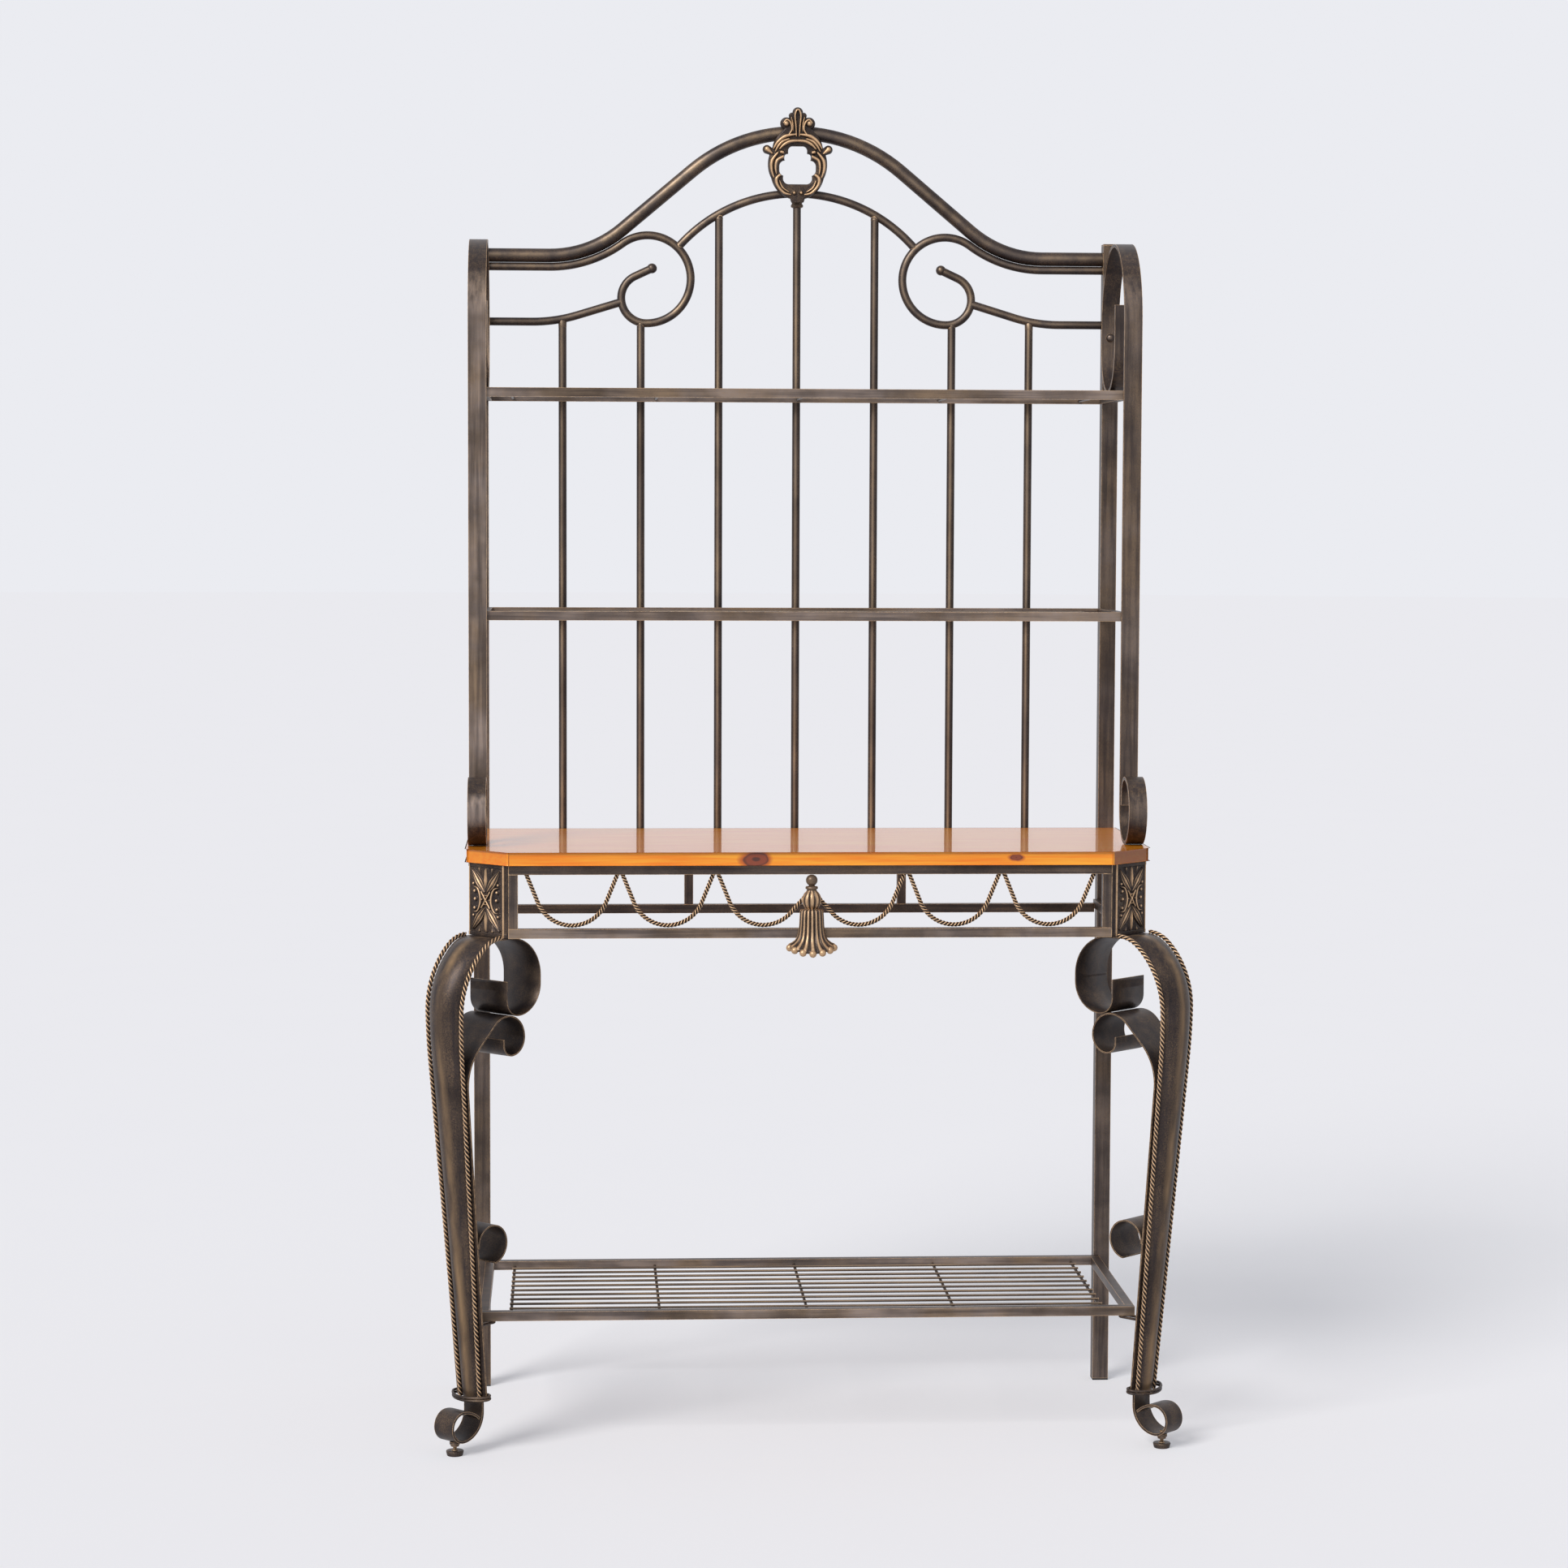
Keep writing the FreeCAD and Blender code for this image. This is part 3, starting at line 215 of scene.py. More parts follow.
def in_corner(s, u, z, side):
    """Corner frame to rack: s out along the diagonal, u across it; side is -1 left, 1 right."""
    x = CORNER_X + (s + u) * DIAGONAL
    return Vector((side * x, CORNER_Y + (u - s) * DIAGONAL, z))


# ---- twisted ropes ----

ROPE = 7.0
LEG_ROPE_PITCH, SWAG_ROPE_PITCH = 22.0, 16.0
ROPE_AROUND = 30
ROPE_STEP = 1.2
STRANDS = 3
ROPE_RUB_FROM, ROPE_RUB_SPAN = 0.84, 0.14


def twisted_rope(name, path, pitch, material):
    """Three strands laid round each other along a path, left-handed; the grooves stay dark."""
    radius = ROPE / 2
    strand = radius / (1 + 1 / math.sin(math.pi / STRANDS))
    offset = radius - strand
    share = 2 * math.pi / STRANDS
    points, rub, faces = [], [], []
    travelled = 0.0
    for before, centre, normal, other in along_path(path):
        travelled += (centre - before).length
        for step in range(ROPE_AROUND):
            angle = 2 * math.pi * step / ROPE_AROUND
            off = (angle + share / 2) % share - share / 2
            reach = offset * math.cos(off) + math.sqrt(max(strand ** 2 - (offset * math.sin(off)) ** 2, 0))
            twist = angle - 2 * math.pi * travelled / pitch
            points.append(centre + (normal * math.cos(twist) + other * math.sin(twist)) * reach)
            rub.append(min(1.0, max(0.0, (reach / radius - ROPE_RUB_FROM) / ROPE_RUB_SPAN)))
    join_rings(faces, len(path), ROPE_AROUND)
    return make_object(name, points, faces, material, rub)


# the leg's line in the corner frame: lean, calf, knee and hip, from the ankle to the flat top
LEAN = 5.2
ANKLE_S, ANKLE_Z = 36.0, 82.0
LEG_TOP = 779.7
KNEE = ((800.0, LEAN), (125.0, 50.0), (52.0, 40.0))
ROPE_OUT = 2.5
ROPE_U, ROPE_SPREAD = 21.0, 0.0265


def leg_path(outward, step):
    """Points (s, z) along the front of the leg, moved outward."""
    lean = math.radians(LEAN)
    rise = walk((0.0, 0.0), 90.0 - LEAN, KNEE, step)[-1][1]
    shin = (LEG_TOP - rise - ANKLE_Z) / math.cos(lean)
    start = (ANKLE_S + outward * math.cos(lean), ANKLE_Z - outward * math.sin(lean))
    grown = [(radius + outward, turn) for radius, turn in KNEE]
    return walk(start, 90.0 - LEAN, [(shin,)] + grown, step)


def leg_ropes(material):
    """The two ropes along each leg's shell, in planes that open upward."""
    fall = 1 / math.sqrt(1 + ROPE_SPREAD ** 2)
    for word, side in SIDES:
        for edge, across in (("inner", -1), ("outer", 1)):
            path = []
            for s, z in leg_path(ROPE_OUT, ROPE_STEP):
                rise = (z - ANKLE_Z) * fall
                path.append(in_corner(s, across * (ROPE_U + ROPE_SPREAD * rise), ANKLE_Z + rise, side))
            rope = twisted_rope(f"leg_rope_{word}_{edge}", path, LEG_ROPE_PITCH, material)
            finish_piece(rope, "bronze_highlight", f"leg_rope_trims_{word}")


SHEET = 2.0
SHELL_INSET = 3.6
SHELL_COLUMNS = 18
SHELL_STEP, SCROLL_STEP = 4.0, 3.0
CROWN_SHARE, CROWN_FADE, CROWN_LEAST = 0.55, 1.3, 0.4
STRIP_HALF = 40.0
STRIP_CHAMFER = 0.5
SCROLL_START = -12.6
SCROLL_MOVES = ((60.0, 90.0), (11.0,), (46.0, 90.0), (24.0, 90.0), (29.0,))


def shell_section(point, heading, side):
    """Points round a bowed sheet across the leg's line: along its outer face and back inside."""
    s, z = point
    half = ROPE_U + ROPE_SPREAD * (z - ANKLE_Z) - SHELL_INSET
    fade = math.cos(max(heading - math.pi / 2, 0.0))
    crown = max(CROWN_SHARE * half * max(fade, 0.0) ** CROWN_FADE, CROWN_LEAST)
    radius = (half ** 2 + crown ** 2) / (2 * crown)
    spread = math.atan2(half, radius - crown)
    ring = []
    for size, start in ((radius, -spread), (radius - SHEET, spread)):
        for step in range(SHELL_COLUMNS + 1):
            turn = start * (1 - 2 * step / SHELL_COLUMNS)
            out = crown - radius + size * math.cos(turn)
            ring.append(in_corner(s + out * math.sin(heading), size * math.sin(turn),
                                  z - out * math.cos(heading), side))
    return ring


def band_section(point, heading, side):
    """Points round a flat strip across the leg's line, with small chamfers."""
    ring = []
    for across, rise in ((-1, 0.5), (-1, -0.5), (1, -0.5), (1, 0.5)):
        for inset in (0.0, STRIP_CHAMFER) if across * rise > 0 else (STRIP_CHAMFER, 0.0):
            out = rise * (SHEET - 2 * (STRIP_CHAMFER - inset))
            ring.append(in_corner(point[0] + out * math.sin(heading), across * (STRIP_HALF - inset),
                                  point[1] - out * math.cos(heading), side))
    return ring


def swept(name, line, section, side, material):
    """A solid through a section at each point of a line in the corner's upright plane."""
    points, faces = [], []
    for index, point in enumerate(line):
        before, after = line[max(index - 1, 0)], line[min(index + 1, len(line) - 1)]
        heading = math.atan2(after[1] - before[1], after[0] - before[0]) % (2 * math.pi)
        points += section(point, heading, side)
    count = len(points) // len(line)
    join_rings(faces, len(line), count)
    return make_object(name, points, faces, material, sharp_angle=45)


def leg_strips(shell_paint, strip_paint):
    """Each front leg's bowed shell, and the flat scroll that it runs into under the counter."""
    line = leg_path(0.0, SHELL_STEP)
    top = line[-1]
    start = (top[0], top[1] - SHEET / 2)
    scroll = walk(start, 180.0, [(top[0] - SCROLL_START,), *SCROLL_MOVES], SCROLL_STEP)
    for word, side in SIDES:
        shell = swept(f"leg_shell_{word}", line, shell_section, side, shell_paint)
        strip = swept(f"leg_scroll_{word}", scroll, band_section, side, strip_paint)
        for piece in (shell, strip):
            finish_piece(piece, "bronze_paint", f"leg_strip_{word}")


SWAGS_EACH_SIDE = 3
SWAG_PITCH = 144.0
SWAG_GAP = 0.3
SWAG_SAG = 77.0
SWAG_ANGLE = 68.0
SWAG_Y = 10.0
RAIL_UNDER = 876.0
BEAD_Z = 838.0
TUCK_FROM, TUCK_X, TUCK_Z = 27.0, 9.0, 842.0
TUCK_STEPS = 25


def swag_path(middle):
    """Straight, an arc at the bottom and straight again, up into the rail."""
    turn = math.radians(SWAG_ANGLE)
    half = SWAG_PITCH / 2 - ROPE / 2 - SWAG_GAP
    slope = math.tan(turn)
    radius = (half * slope - SWAG_SAG) / (math.sin(turn) * slope - (1 - math.cos(turn)))
    rise = (half - radius * math.sin(turn)) / math.cos(turn) + ROPE
    low = RAIL_UNDER - SWAG_SAG
    start = (middle - radius * math.sin(turn) - rise * math.cos(turn),
             low + radius * (1 - math.cos(turn)) + rise * math.sin(turn))
    return walk(start, -SWAG_ANGLE, [(rise,), (radius, 2 * SWAG_ANGLE), (rise,)], ROPE_STEP)


def tucked(line):
    """The swag beside the tassel runs on into the tassel's bead."""
    kept = [spot for spot in line if spot[0] > TUCK_FROM]
    return [*np.linspace((TUCK_X, TUCK_Z), kept[0], TUCK_STEPS, endpoint=False), *kept]


def swags(material):
    for word, side in SIDES:
        for index in range(SWAGS_EACH_SIDE):
            line = swag_path(SWAG_PITCH * (index + 0.5))
            if index == 0:
                line = tucked(line)
            path = [Vector((side * x, SWAG_Y, z)) for x, z in line]
            rope = twisted_rope(f"swag_{word}_{index + 1}", path, SWAG_ROPE_PITCH, material)
            finish_piece(rope, "bronze_highlight", "rope_swags")


# ---- bent rods ----

ROD = 13.0
BALL = 16.0
BALL_RUB = 0.2
BAR_AROUND = 24
POST_INSIDE = 492.6
CREST_Z = 1826.0
CREST_FLAT = 97.5
SCROLL_Z = CREST_Z - 17.8
SCROLL_BENDS = ((198.3, -36.0), (68.5, 126.0), (71.0, 90.0), (40.0, 90.0), (38.0, 65.0), (30.0,))
WING_Z = CREST_Z - 105.0
WING_BEND_X = 385.8
WING_BEND = 250.0
WING_SLOPE = 17.0
WING_END = 281.2
WING_STEP = 6.0
ROD_PITCH = 124.8
# weld collars: the upright rod's number from the middle, bottom and top; then radii, going up
WELDS = ((1, 1883.0, 1889.0), (2, 1715.0, 1721.0), (3, 1711.0, 1724.0))
WELD_RADII = (6.2, 6.5, 6.7, 5.6)
WELD_SHOULDER = 2.0
LONG_WIRE, CROSS_WIRE = 3.8, 4.5
WIRE_PITCH = 33.0
CROSS_PITCH = 226.4
CROSS_WIRES = 5
WIRE_OVERHANG = 3.0


def bars(name, paths, radius, material):
    """Round bars along paths, as one mesh."""
    points, faces = [], []
    for path in paths:
        first = len(points)
        for _, centre, normal, other in along_path(path):
            for step in range(BAR_AROUND):
                angle = 2 * math.pi * step / BAR_AROUND
                points.append(centre + (normal * math.cos(angle) + other * math.sin(angle)) * radius)
        rings = []
        join_rings(rings, len(path), BAR_AROUND)
        faces += [tuple(first + point for point in face) for face in rings]
    return make_object(name, points, faces, material, sharp_angle=50)


def in_back(line, side):
    """Points (x, z) of the hutch's back plane; side is -1 left, 1 right."""
    return [Vector((side * x, POST_MID, z)) for x, z in line]


def wing_rods(material):
    """Flat from the post, then in a slow bend up to the scroll's outer side."""
    turn = math.radians(WING_SLOPE)
    half_bend = WING_BEND * math.tan(turn / 2)
    flat = POST_INSIDE - WING_BEND_X - half_bend
    slope = (WING_BEND_X - WING_END) / math.cos(turn) - half_bend
    line = walk((POST_INSIDE, WING_Z), 180.0, [(flat,), (WING_BEND, -WING_SLOPE), (slope,)],
                WING_STEP)
    for word, side in SIDES:
        rod = bars(f"wing_rod_{word}", [in_back(line, side)], ROD / 2, material)
        finish_piece(rod, "bronze_paint", "wing_rods")


def scroll_rods(material):
    """Along under the crest tube, round, and back up the middle to a small ball."""
    line = walk((POST_INSIDE, SCROLL_Z), 180.0, [(CREST_FLAT,), *SCROLL_BENDS], SCROLL_STEP)
    for word, side in SIDES:
        path = in_back(line, side)
        rod = bars(f"scroll_rod_{word}", [path], ROD / 2, material)
        finish_piece(rod, "bronze_paint", f"scroll_rod_{word}")
        ball = turned_ball(f"scroll_ball_{word}", path[-1], BALL / 2, material, BALL_RUB)
        finish_piece(ball, "bronze_paint", f"scroll_rod_{word}")


def weld_beads(material):
    """Small collars of weld where the upright rods meet the curved ones."""
    for word, side in SIDES:
        for index, low, high in WELDS:
            heights = (low, low + WELD_SHOULDER, high - WELD_SHOULDER, high)
            bead = turned(f"weld_{word}_{index}", list(zip(WELD_RADII, heights)),
                          (side * ROD_PITCH * index, POST_MID), BAR_AROUND, material)
            finish_piece(bead, "bronze_paint")


def shelf_wires(material):
    """Long wires laid on cross wires; they end on the outer cross wires, short of the side rails."""
    for shelf in ("lower", "middle", "upper"):
        low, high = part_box(f"{shelf}_shelf_wires")
        near, far = (low[1] - FRONT_Y) / MM, (high[1] - FRONT_Y) / MM
        reach = CROSS_PITCH * (CROSS_WIRES - 1) / 2
        count = round((far - near) / WIRE_PITCH)
        long_z, cross_z = high[2] / MM - LONG_WIRE / 2, low[2] / MM + CROSS_WIRE / 2
        long_paths = [[Vector((end * (reach + WIRE_OVERHANG), near + (far - near) * index / count, long_z))
                       for end in (-1, 1)] for index in range(1, count)]
        cross_paths = [[Vector((CROSS_PITCH * index - reach, y, cross_z)) for y in (near, far)]
                       for index in range(CROSS_WIRES)]
        for kind, paths, wire in (("long", long_paths, LONG_WIRE), ("cross", cross_paths, CROSS_WIRE)):
            made = bars(f"{shelf}_{kind}_wires", paths, wire / 2, material)
            finish_piece(made, "bronze_paint", f"{shelf}_shelf_wires")


# ---- cast and pressed ornament ----

# powers that shape a ridge's section and its rub, and the least half width
RIDGE_ROUND, RIDGE_RUB, LEAST_WIDTH = 1.3, 1.6, 0.05
# grid step, the step that slopes are measured over, and the outline's shares of a grid step
FINE_GRID = 0.5
PROBE = 0.05
SNAP, KEEP = 0.62, 0.15


def ridges(x, z, lines):
    """Height and rub of rounded ridges on a grid; a line is (points, half widths, height)."""
    height = np.zeros_like(x)
    rub = np.zeros_like(x)
    for points, widths, rise in lines:
        curve = curve_through(points) if len(points) > 2 else list(points)
        count = len(curve) - 1
        along = np.linspace(0, len(widths) - 1, count + 1)
        half = np.interp(along, range(len(widths)), widths)
        for index in range(count):
            (x0, z0), (x1, z1) = curve[index], curve[index + 1]
            dx, dz = x1 - x0, z1 - z0
            share = np.clip(((x - x0) * dx + (z - z0) * dz) / max(dx * dx + dz * dz, 1e-9), 0, 1)
            away = np.hypot(x - x0 - share * dx, z - z0 - share * dz)
            width = half[index] + (half[index + 1] - half[index]) * share
            round_top = np.clip(1 - (away / np.maximum(width, LEAST_WIDTH)) ** 2, 0, 1) ** RIDGE_ROUND
            lift = rise * np.minimum(width / max(widths), 1) ** 0.5
            height = np.maximum(height, lift * round_top)
            rub = np.maximum(rub, round_top ** RIDGE_RUB)
    return height, rub


def discs(x, z, circles):
    """Signed distance to a union of circles (x, z, radius); negative inside."""
    return np.min([np.hypot(x - cx, z - cz) - radius for cx, cz, radius in circles], axis=0)


def taper(start, end, count=10):
    """Circles that run from one circle to another."""
    return [tuple(a + (b - a) * index / count for a, b in zip(start, end)) for index in range(count + 1)]


def rounded_box(x, z, half, low, high, corner):
    """Signed distance to an upright box with rounded corners, centred on x = 0."""
    beside = np.abs(x) - half + corner
    above = np.abs(z - (low + high) / 2) - (high - low) / 2 + corner
    outside = np.hypot(np.maximum(beside, 0), np.maximum(above, 0))
    return outside + np.minimum(np.maximum(beside, above), 0) - corner


def relief_piece(name, half, low, high, step, shape, height, depth, place, material):
    """A plate on a grid clipped to shape, its front raised to height, its back flat at -depth.

    Grid points near the outline are moved onto it; SNAP and KEEP are shares of a grid step."""
    columns = np.linspace(-half, half, round(2 * half / step) + 1)
    rows = np.linspace(low, high, round((high - low) / step) + 1)
    x, z = np.meshgrid(columns, rows)
    for _ in range(2):
        gap = shape(x, z)
        slope_x = (shape(x + PROBE, z) - gap) / PROBE
        slope_z = (shape(x, z + PROBE) - gap) / PROBE
        near = np.abs(gap) < SNAP * step
        size = np.maximum(slope_x ** 2 + slope_z ** 2, 0.2)
        x = np.where(near, x - gap * slope_x / size, x)
        z = np.where(near, z - gap * slope_z / size, z)
    inside = shape(x, z) < KEEP * step
    lift, rub = height(x, z)
    wide = len(columns)
    front = {}
    faces, points, worn = [], [], []

    def corner(row, column):
        key = row * wide + column
        if key not in front:
            front[key] = len(points)
            spot = (x[row, column], z[row, column])
            points.append(place(spot[0], lift[row, column], spot[1]))
            points.append(place(spot[0], -depth, spot[1]))
            worn.extend((rub[row, column], 0.0))
        return front[key]

    full = inside[:-1, :-1] & inside[1:, :-1] & inside[:-1, 1:] & inside[1:, 1:]
    edges = {}  # those with a face on one side only
    for row, column in zip(*np.nonzero(full)):
        ring = [corner(row, column), corner(row, column + 1), corner(row + 1, column + 1),
                corner(row + 1, column)]
        faces.append(tuple(ring))
        faces.append(tuple(point + 1 for point in ring[::-1]))
        for start, end in zip(ring, ring[1:] + ring[:1]):
            if edges.pop((end, start), None) is None:
                edges[(start, end)] = True
    for start, end in edges:
        faces.append((end, start, start + 1, end + 1))
    return make_object(name, points, faces, material, worn, sharp_angle=52)


# pressed corner plate: across and up from the middle of its ornament
PLATE_HALF = 42.0
PLATE_LOW, PLATE_HIGH = 780.3, 889.7
PLATE_FRONT = -2.8
PLATE_DEPTH = 1.5
FIELD_SHIFT = -4.5
INNER_RIDGE = 33.0
PLATE_BAND = 6.5
FLANGE_LIFT = 0.6


def plate_lines():
    """Leaves, scrolls, bands and beads of the pressed ornament, as ridges."""
    lines = []
    for side in (-1, 1):
        for up in (-1, 1):
            leaf = ((2.5 * side, 12 * up), (15 * side, 27 * up), (29 * side, 45 * up))
            lines.append((leaf, (2.4, 8.4, 1.6), 2.7))
            for shift in (-4.6, 4.6):
                vein = [(a + shift * side * thin, b - 0.6 * shift * up * thin)
                        for (a, b), thin in zip(leaf, (0.4, 1.0, 0.3))]
                lines.append((vein, (1.1, 2.7, 1.0), 3.0))
            lines.append((leaf, (1.2, 2.5, 0.9), 3.9))
            lines.append((((14 * side, 47 * up), (12 * side, 38 * up)), (4.2, 0.8), 2.8))
            lines.append((((26.5 * side, 24 * up),) * 2, (4.0, 4.0), 3.6))
            lines.append((((24.0 * side, 12.8 * up),) * 2, (4.4, 4.4), 3.9))
            lines.append((((2.2 * side, 6.8 * up),) * 2, (2.3, 2.3), 4.2))
        lines.append((((23.0 * side, 0.8),) * 2, (4.6, 4.6), 3.9))
        scroll = ((28 * side, 20), (18 * side, 17), (12.5 * side, 7), (12 * side, -5), (18 * side, -17),
                  (28 * side, -19))
        lines.append((scroll, (1.2, 2.8, 3.4, 3.4, 2.8, 1.2), 3.6))
        lines.append((((-9 * side, 12), (9 * side, -12)), (2.2, 2.8, 2.2), 4.2))
        lines.append((((8.5 * side, 0.5),) * 2, (2.6, 2.6), 3.4))
    for up in (-1, 1):
        lines.append((((0, 14 * up), (1.0, 29 * up), (0.6, 47 * up)), (1.2, 7.2, 5.0), 3.0))
        lines.append((((-0.8, 18 * up), (-1.2, 30 * up), (-0.8, 46 * up)), (0.8, 1.9, 1.0), 4.1))
    lines.append((((0, 0), (0, 0)), (2.6, 2.6), 5.0))
    return lines


def plate_height(u, z):
    across, up = u - FIELD_SHIFT, z - (PLATE_LOW + PLATE_HIGH) / 2
    height, rub = ridges(across, up, plate_lines())
    tall = PLATE_HIGH - PLATE_LOW
    frame_lines = [
        (((INNER_RIDGE, -tall / 2), (INNER_RIDGE, tall / 2)), (3.2, 3.2), 3.0),
        (((-PLATE_HALF + 1.6, -tall / 2), (-PLATE_HALF + 1.6, tall / 2)), (1.7, 1.7), 2.2)]
    rim_height, rim_rub = ridges(u, up, frame_lines)
    band = np.clip((np.abs(up) - (tall / 2 - PLATE_BAND)) / 1.2, 0, 1)
    height = np.maximum(np.maximum(height * (1 - band), 1.7 * band), rim_height)
    rub = np.maximum(rub * np.clip((height - 1.5) / 1.9, 0, 1) * (1 - band), rim_rub)
    flange = np.clip((u - INNER_RIDGE - 3.4) / 3.0, 0, 1)
    return height * (1 - flange) + FLANGE_LIFT * flange, rub * (1 - flange)


def corner_plates(material):
    for word, side in SIDES:
        def place(u, lift, z):
            return in_corner(PLATE_FRONT + lift, -u, z, side)
        plate = relief_piece(f"corner_plate_relief_{word}", PLATE_HALF, PLATE_LOW, PLATE_HIGH, FINE_GRID,
                             lambda u, z: np.full_like(u, -1.0), plate_height, PLATE_DEPTH, place, material)
        finish_piece(plate, "bronze_highlight", f"corner_plate_{word}")


# cast cartouche: across and up from the middle of its ring
CARTOUCHE_Z = 1970.0
CARTOUCHE_HALF, CARTOUCHE_TOP = 58.0, 93.0
CARTOUCHE_BACK = 418.4
CARTOUCHE_BASE = 5.5
STRAND_RISE = 5.0
STRAND_SPREAD = 1.5
COLLAR_AROUND = 48


def cartouche_shape(x, z):
    outer = [(0, 2, 47.5), (0, -11, 43)]
    outer += taper((0, 22, 41), (0, 55, 18)) + taper((0, 55, 18), (0, 74, 13)) + [(0, 84, 8.5)]
    outer += taper((0, -50, 12), (0, -58, 9.5))
    for side in (-1, 1):
        outer += taper((side * 38, 20, 5), (side * 49, 25.5, 7))
        outer += [(side * 18, 66.5, 10), (side * 9.5, 79, 5)]
    opening = [rounded_box(x, z, 15, 12, 30.5, 7), rounded_box(x, z, 21, 6, 18.5, 5),
               rounded_box(x, z, 29, -16, 8, 9), rounded_box(x, z, 23, -29, -10, 9)]
    return np.maximum(discs(x, z, outer), -np.min(opening, axis=0))


def cartouche_lines():
    lines = []
    for side in (-1, 1):
        strands = (
            (((3.5, 49), (20, 46), (32, 37), (39, 26)), (1.5, 3.0, 2.6, 1.0), 1.0),
            (((14, 42), (24, 38), (31, 31), (36, 22)), (1.2, 2.4, 2.2, 0.8), 0.9),
            (((0, 39), (12, 38), (22, 33), (29, 26)), (2.2, 2.8, 2.6, 1.2), 1.0),
            (((32, 20), (41, 8), (42, -6), (38, -19)), (1.6, 3.0, 2.6, 1.0), 1.0),
            (((23, 14), (33, 8), (35.5, -3), (34, -14)), (2.4, 2.6, 2.2, 0.8), 0.95),
            (((27, -14), (34, -21), (32, -32), (22, -43), (11, -46)), (2.0, 3.0, 2.6, 2.2, 1.0), 1.0),
            (((29, -24), (24, -35), (14, -42)), (0.8, 1.6, 0.8), 0.7),
            (((24, 20.5), (26.5, 21)), (2.6, 2.6), 0.9),
            (((41, 19), (49, 25.5)), (1.4, 4.4), 0.9),
            (((15, 48), (9.5, 57), (12, 68), (18, 72), (23, 67)), (1.0, 1.8, 1.8, 1.6, 1.0), 0.9),
            (((18.5, 66), (18.5, 66.2)), (4.2, 4.2), 1.0),
            (((2.4, 46), (3.2, 62), (4.6, 78), (2.6, 86), (0, 88)), (1.0, 1.5, 1.7, 1.6, 1.6), 1.0),
            (((7.5, 54), (8.2, 66), (10.5, 76)), (0.7, 1.3, 0.7), 0.7),
            (((5.5, -43), (5.5, -43.2)), (2.6, 2.6), 0.9))
        for points, widths, rise in strands:
            wide = [STRAND_SPREAD * width for width in widths]
            lines.append(([(side * a, b) for a, b in points], wide, STRAND_RISE * rise))
    return lines


def cartouche_height(x, z):
    """Rounded rim all round, with strands, volutes and a looped palmette on top."""
    inset = np.clip(-cartouche_shape(x, z) / 3.0, 0, 1)
    rim = CARTOUCHE_BASE * (np.sqrt(1 - (1 - inset) ** 2) - 1)
    height, rub = ridges(x, z, cartouche_lines())
    return rim + height * np.clip(inset * 1.6, 0, 1), rub * np.clip(inset * 1.4, 0, 1)


def cartouche(material):
    def place(x, lift, z):
        return Vector((x, CARTOUCHE_BACK - CARTOUCHE_BASE - lift, CARTOUCHE_Z + z))
    piece = relief_piece("cartouche_casting", CARTOUCHE_HALF, -CARTOUCHE_HALF, CARTOUCHE_TOP, FINE_GRID,
                         cartouche_shape, cartouche_height, CARTOUCHE_BASE, place, material)
    finish_piece(piece, "bronze_highlight", "cartouche")
    collar = [(6.6, 1904), (9.6, 1905.5), (10.0, 1908), (8.2, 1911), (9.0, 1914), (11.0, 1917), (6.6, 1919)]
    ring = turned("cartouche_collar", collar, (0, POST_MID), COLLAR_AROUND, material)
    finish_piece(ring, "bronze_highlight", "cartouche")


# ---- turned pieces ----

PLAIN_RUB = 0.3


def turned(name, profile, axis, around, material, flute=None, start=0, sweep=360):
    """A lathe shape of (radius, z) points about an upright axis, or a part of a turn of it.

    flute(radius, z, angle) gives each point's own radius, z and rub."""
    points, rub, faces = [], [], []
    closed = sweep >= 360
    columns = around if closed else around + 1
    for radius, z in profile:
        for step in range(columns):
            angle = math.radians(start + sweep * step / around)
            reach, height, worn = flute(radius, z, angle) if flute else (radius, z, PLAIN_RUB)
            points.append((axis[0] + reach * math.cos(angle), axis[1] + reach * math.sin(angle), height))
            rub.append(worn)
    for row in range(len(profile) - 1):
        for step in range(around):
            here, there = row * columns + step, row * columns + (step + 1) % columns
            faces.append((here, there, there + columns, here + columns))
    last = (len(profile) - 1) * columns
    faces.append(tuple(range(columns))[::-1])
    faces.append(tuple(last + step for step in range(columns)))
    if not closed:
        back = [row * columns for row in range(len(profile))]
        back += [row * columns + columns - 1 for row in reversed(range(len(profile)))]
        faces.append(tuple(back))
    return make_object(name, points, faces, material, rub, sharp_angle=60)


# tassel: a half turn with a ball, a lobed bead and a folded skirt that ends in a hem with balls
TASSEL_Y = 2.7
TASSEL_BALL, TASSEL_BALL_Z = 8.8, 867.2
TASSEL_BEAD, BEAD_TOP, SKIRT_TOP = 15.0, 851.0, 824.0
TASSEL_AROUND = 144
LOBES, LOBE_DEPTH = 5, 0.16
FOLDS, FOLD_DEPTH = 9, 2.0
FOLD_END, FOLD_FADE = 764.0, 8.0
HEM_Z = 772.0
HEM_DIP, HEM_FROM, HEM_SPAN = 7.0, 20.0, 14.0
DROPS = 7
DROP_TURN = 25.0
DROP_BALL = 5.5
DROP_REACH, DROP_Z = 34.5, 766.5
BALL_POLE = 1.5
BALL_RINGS = 15
BOSS, BOSS_BACK, BOSS_GRID = 13.0, 17.0, 16.0


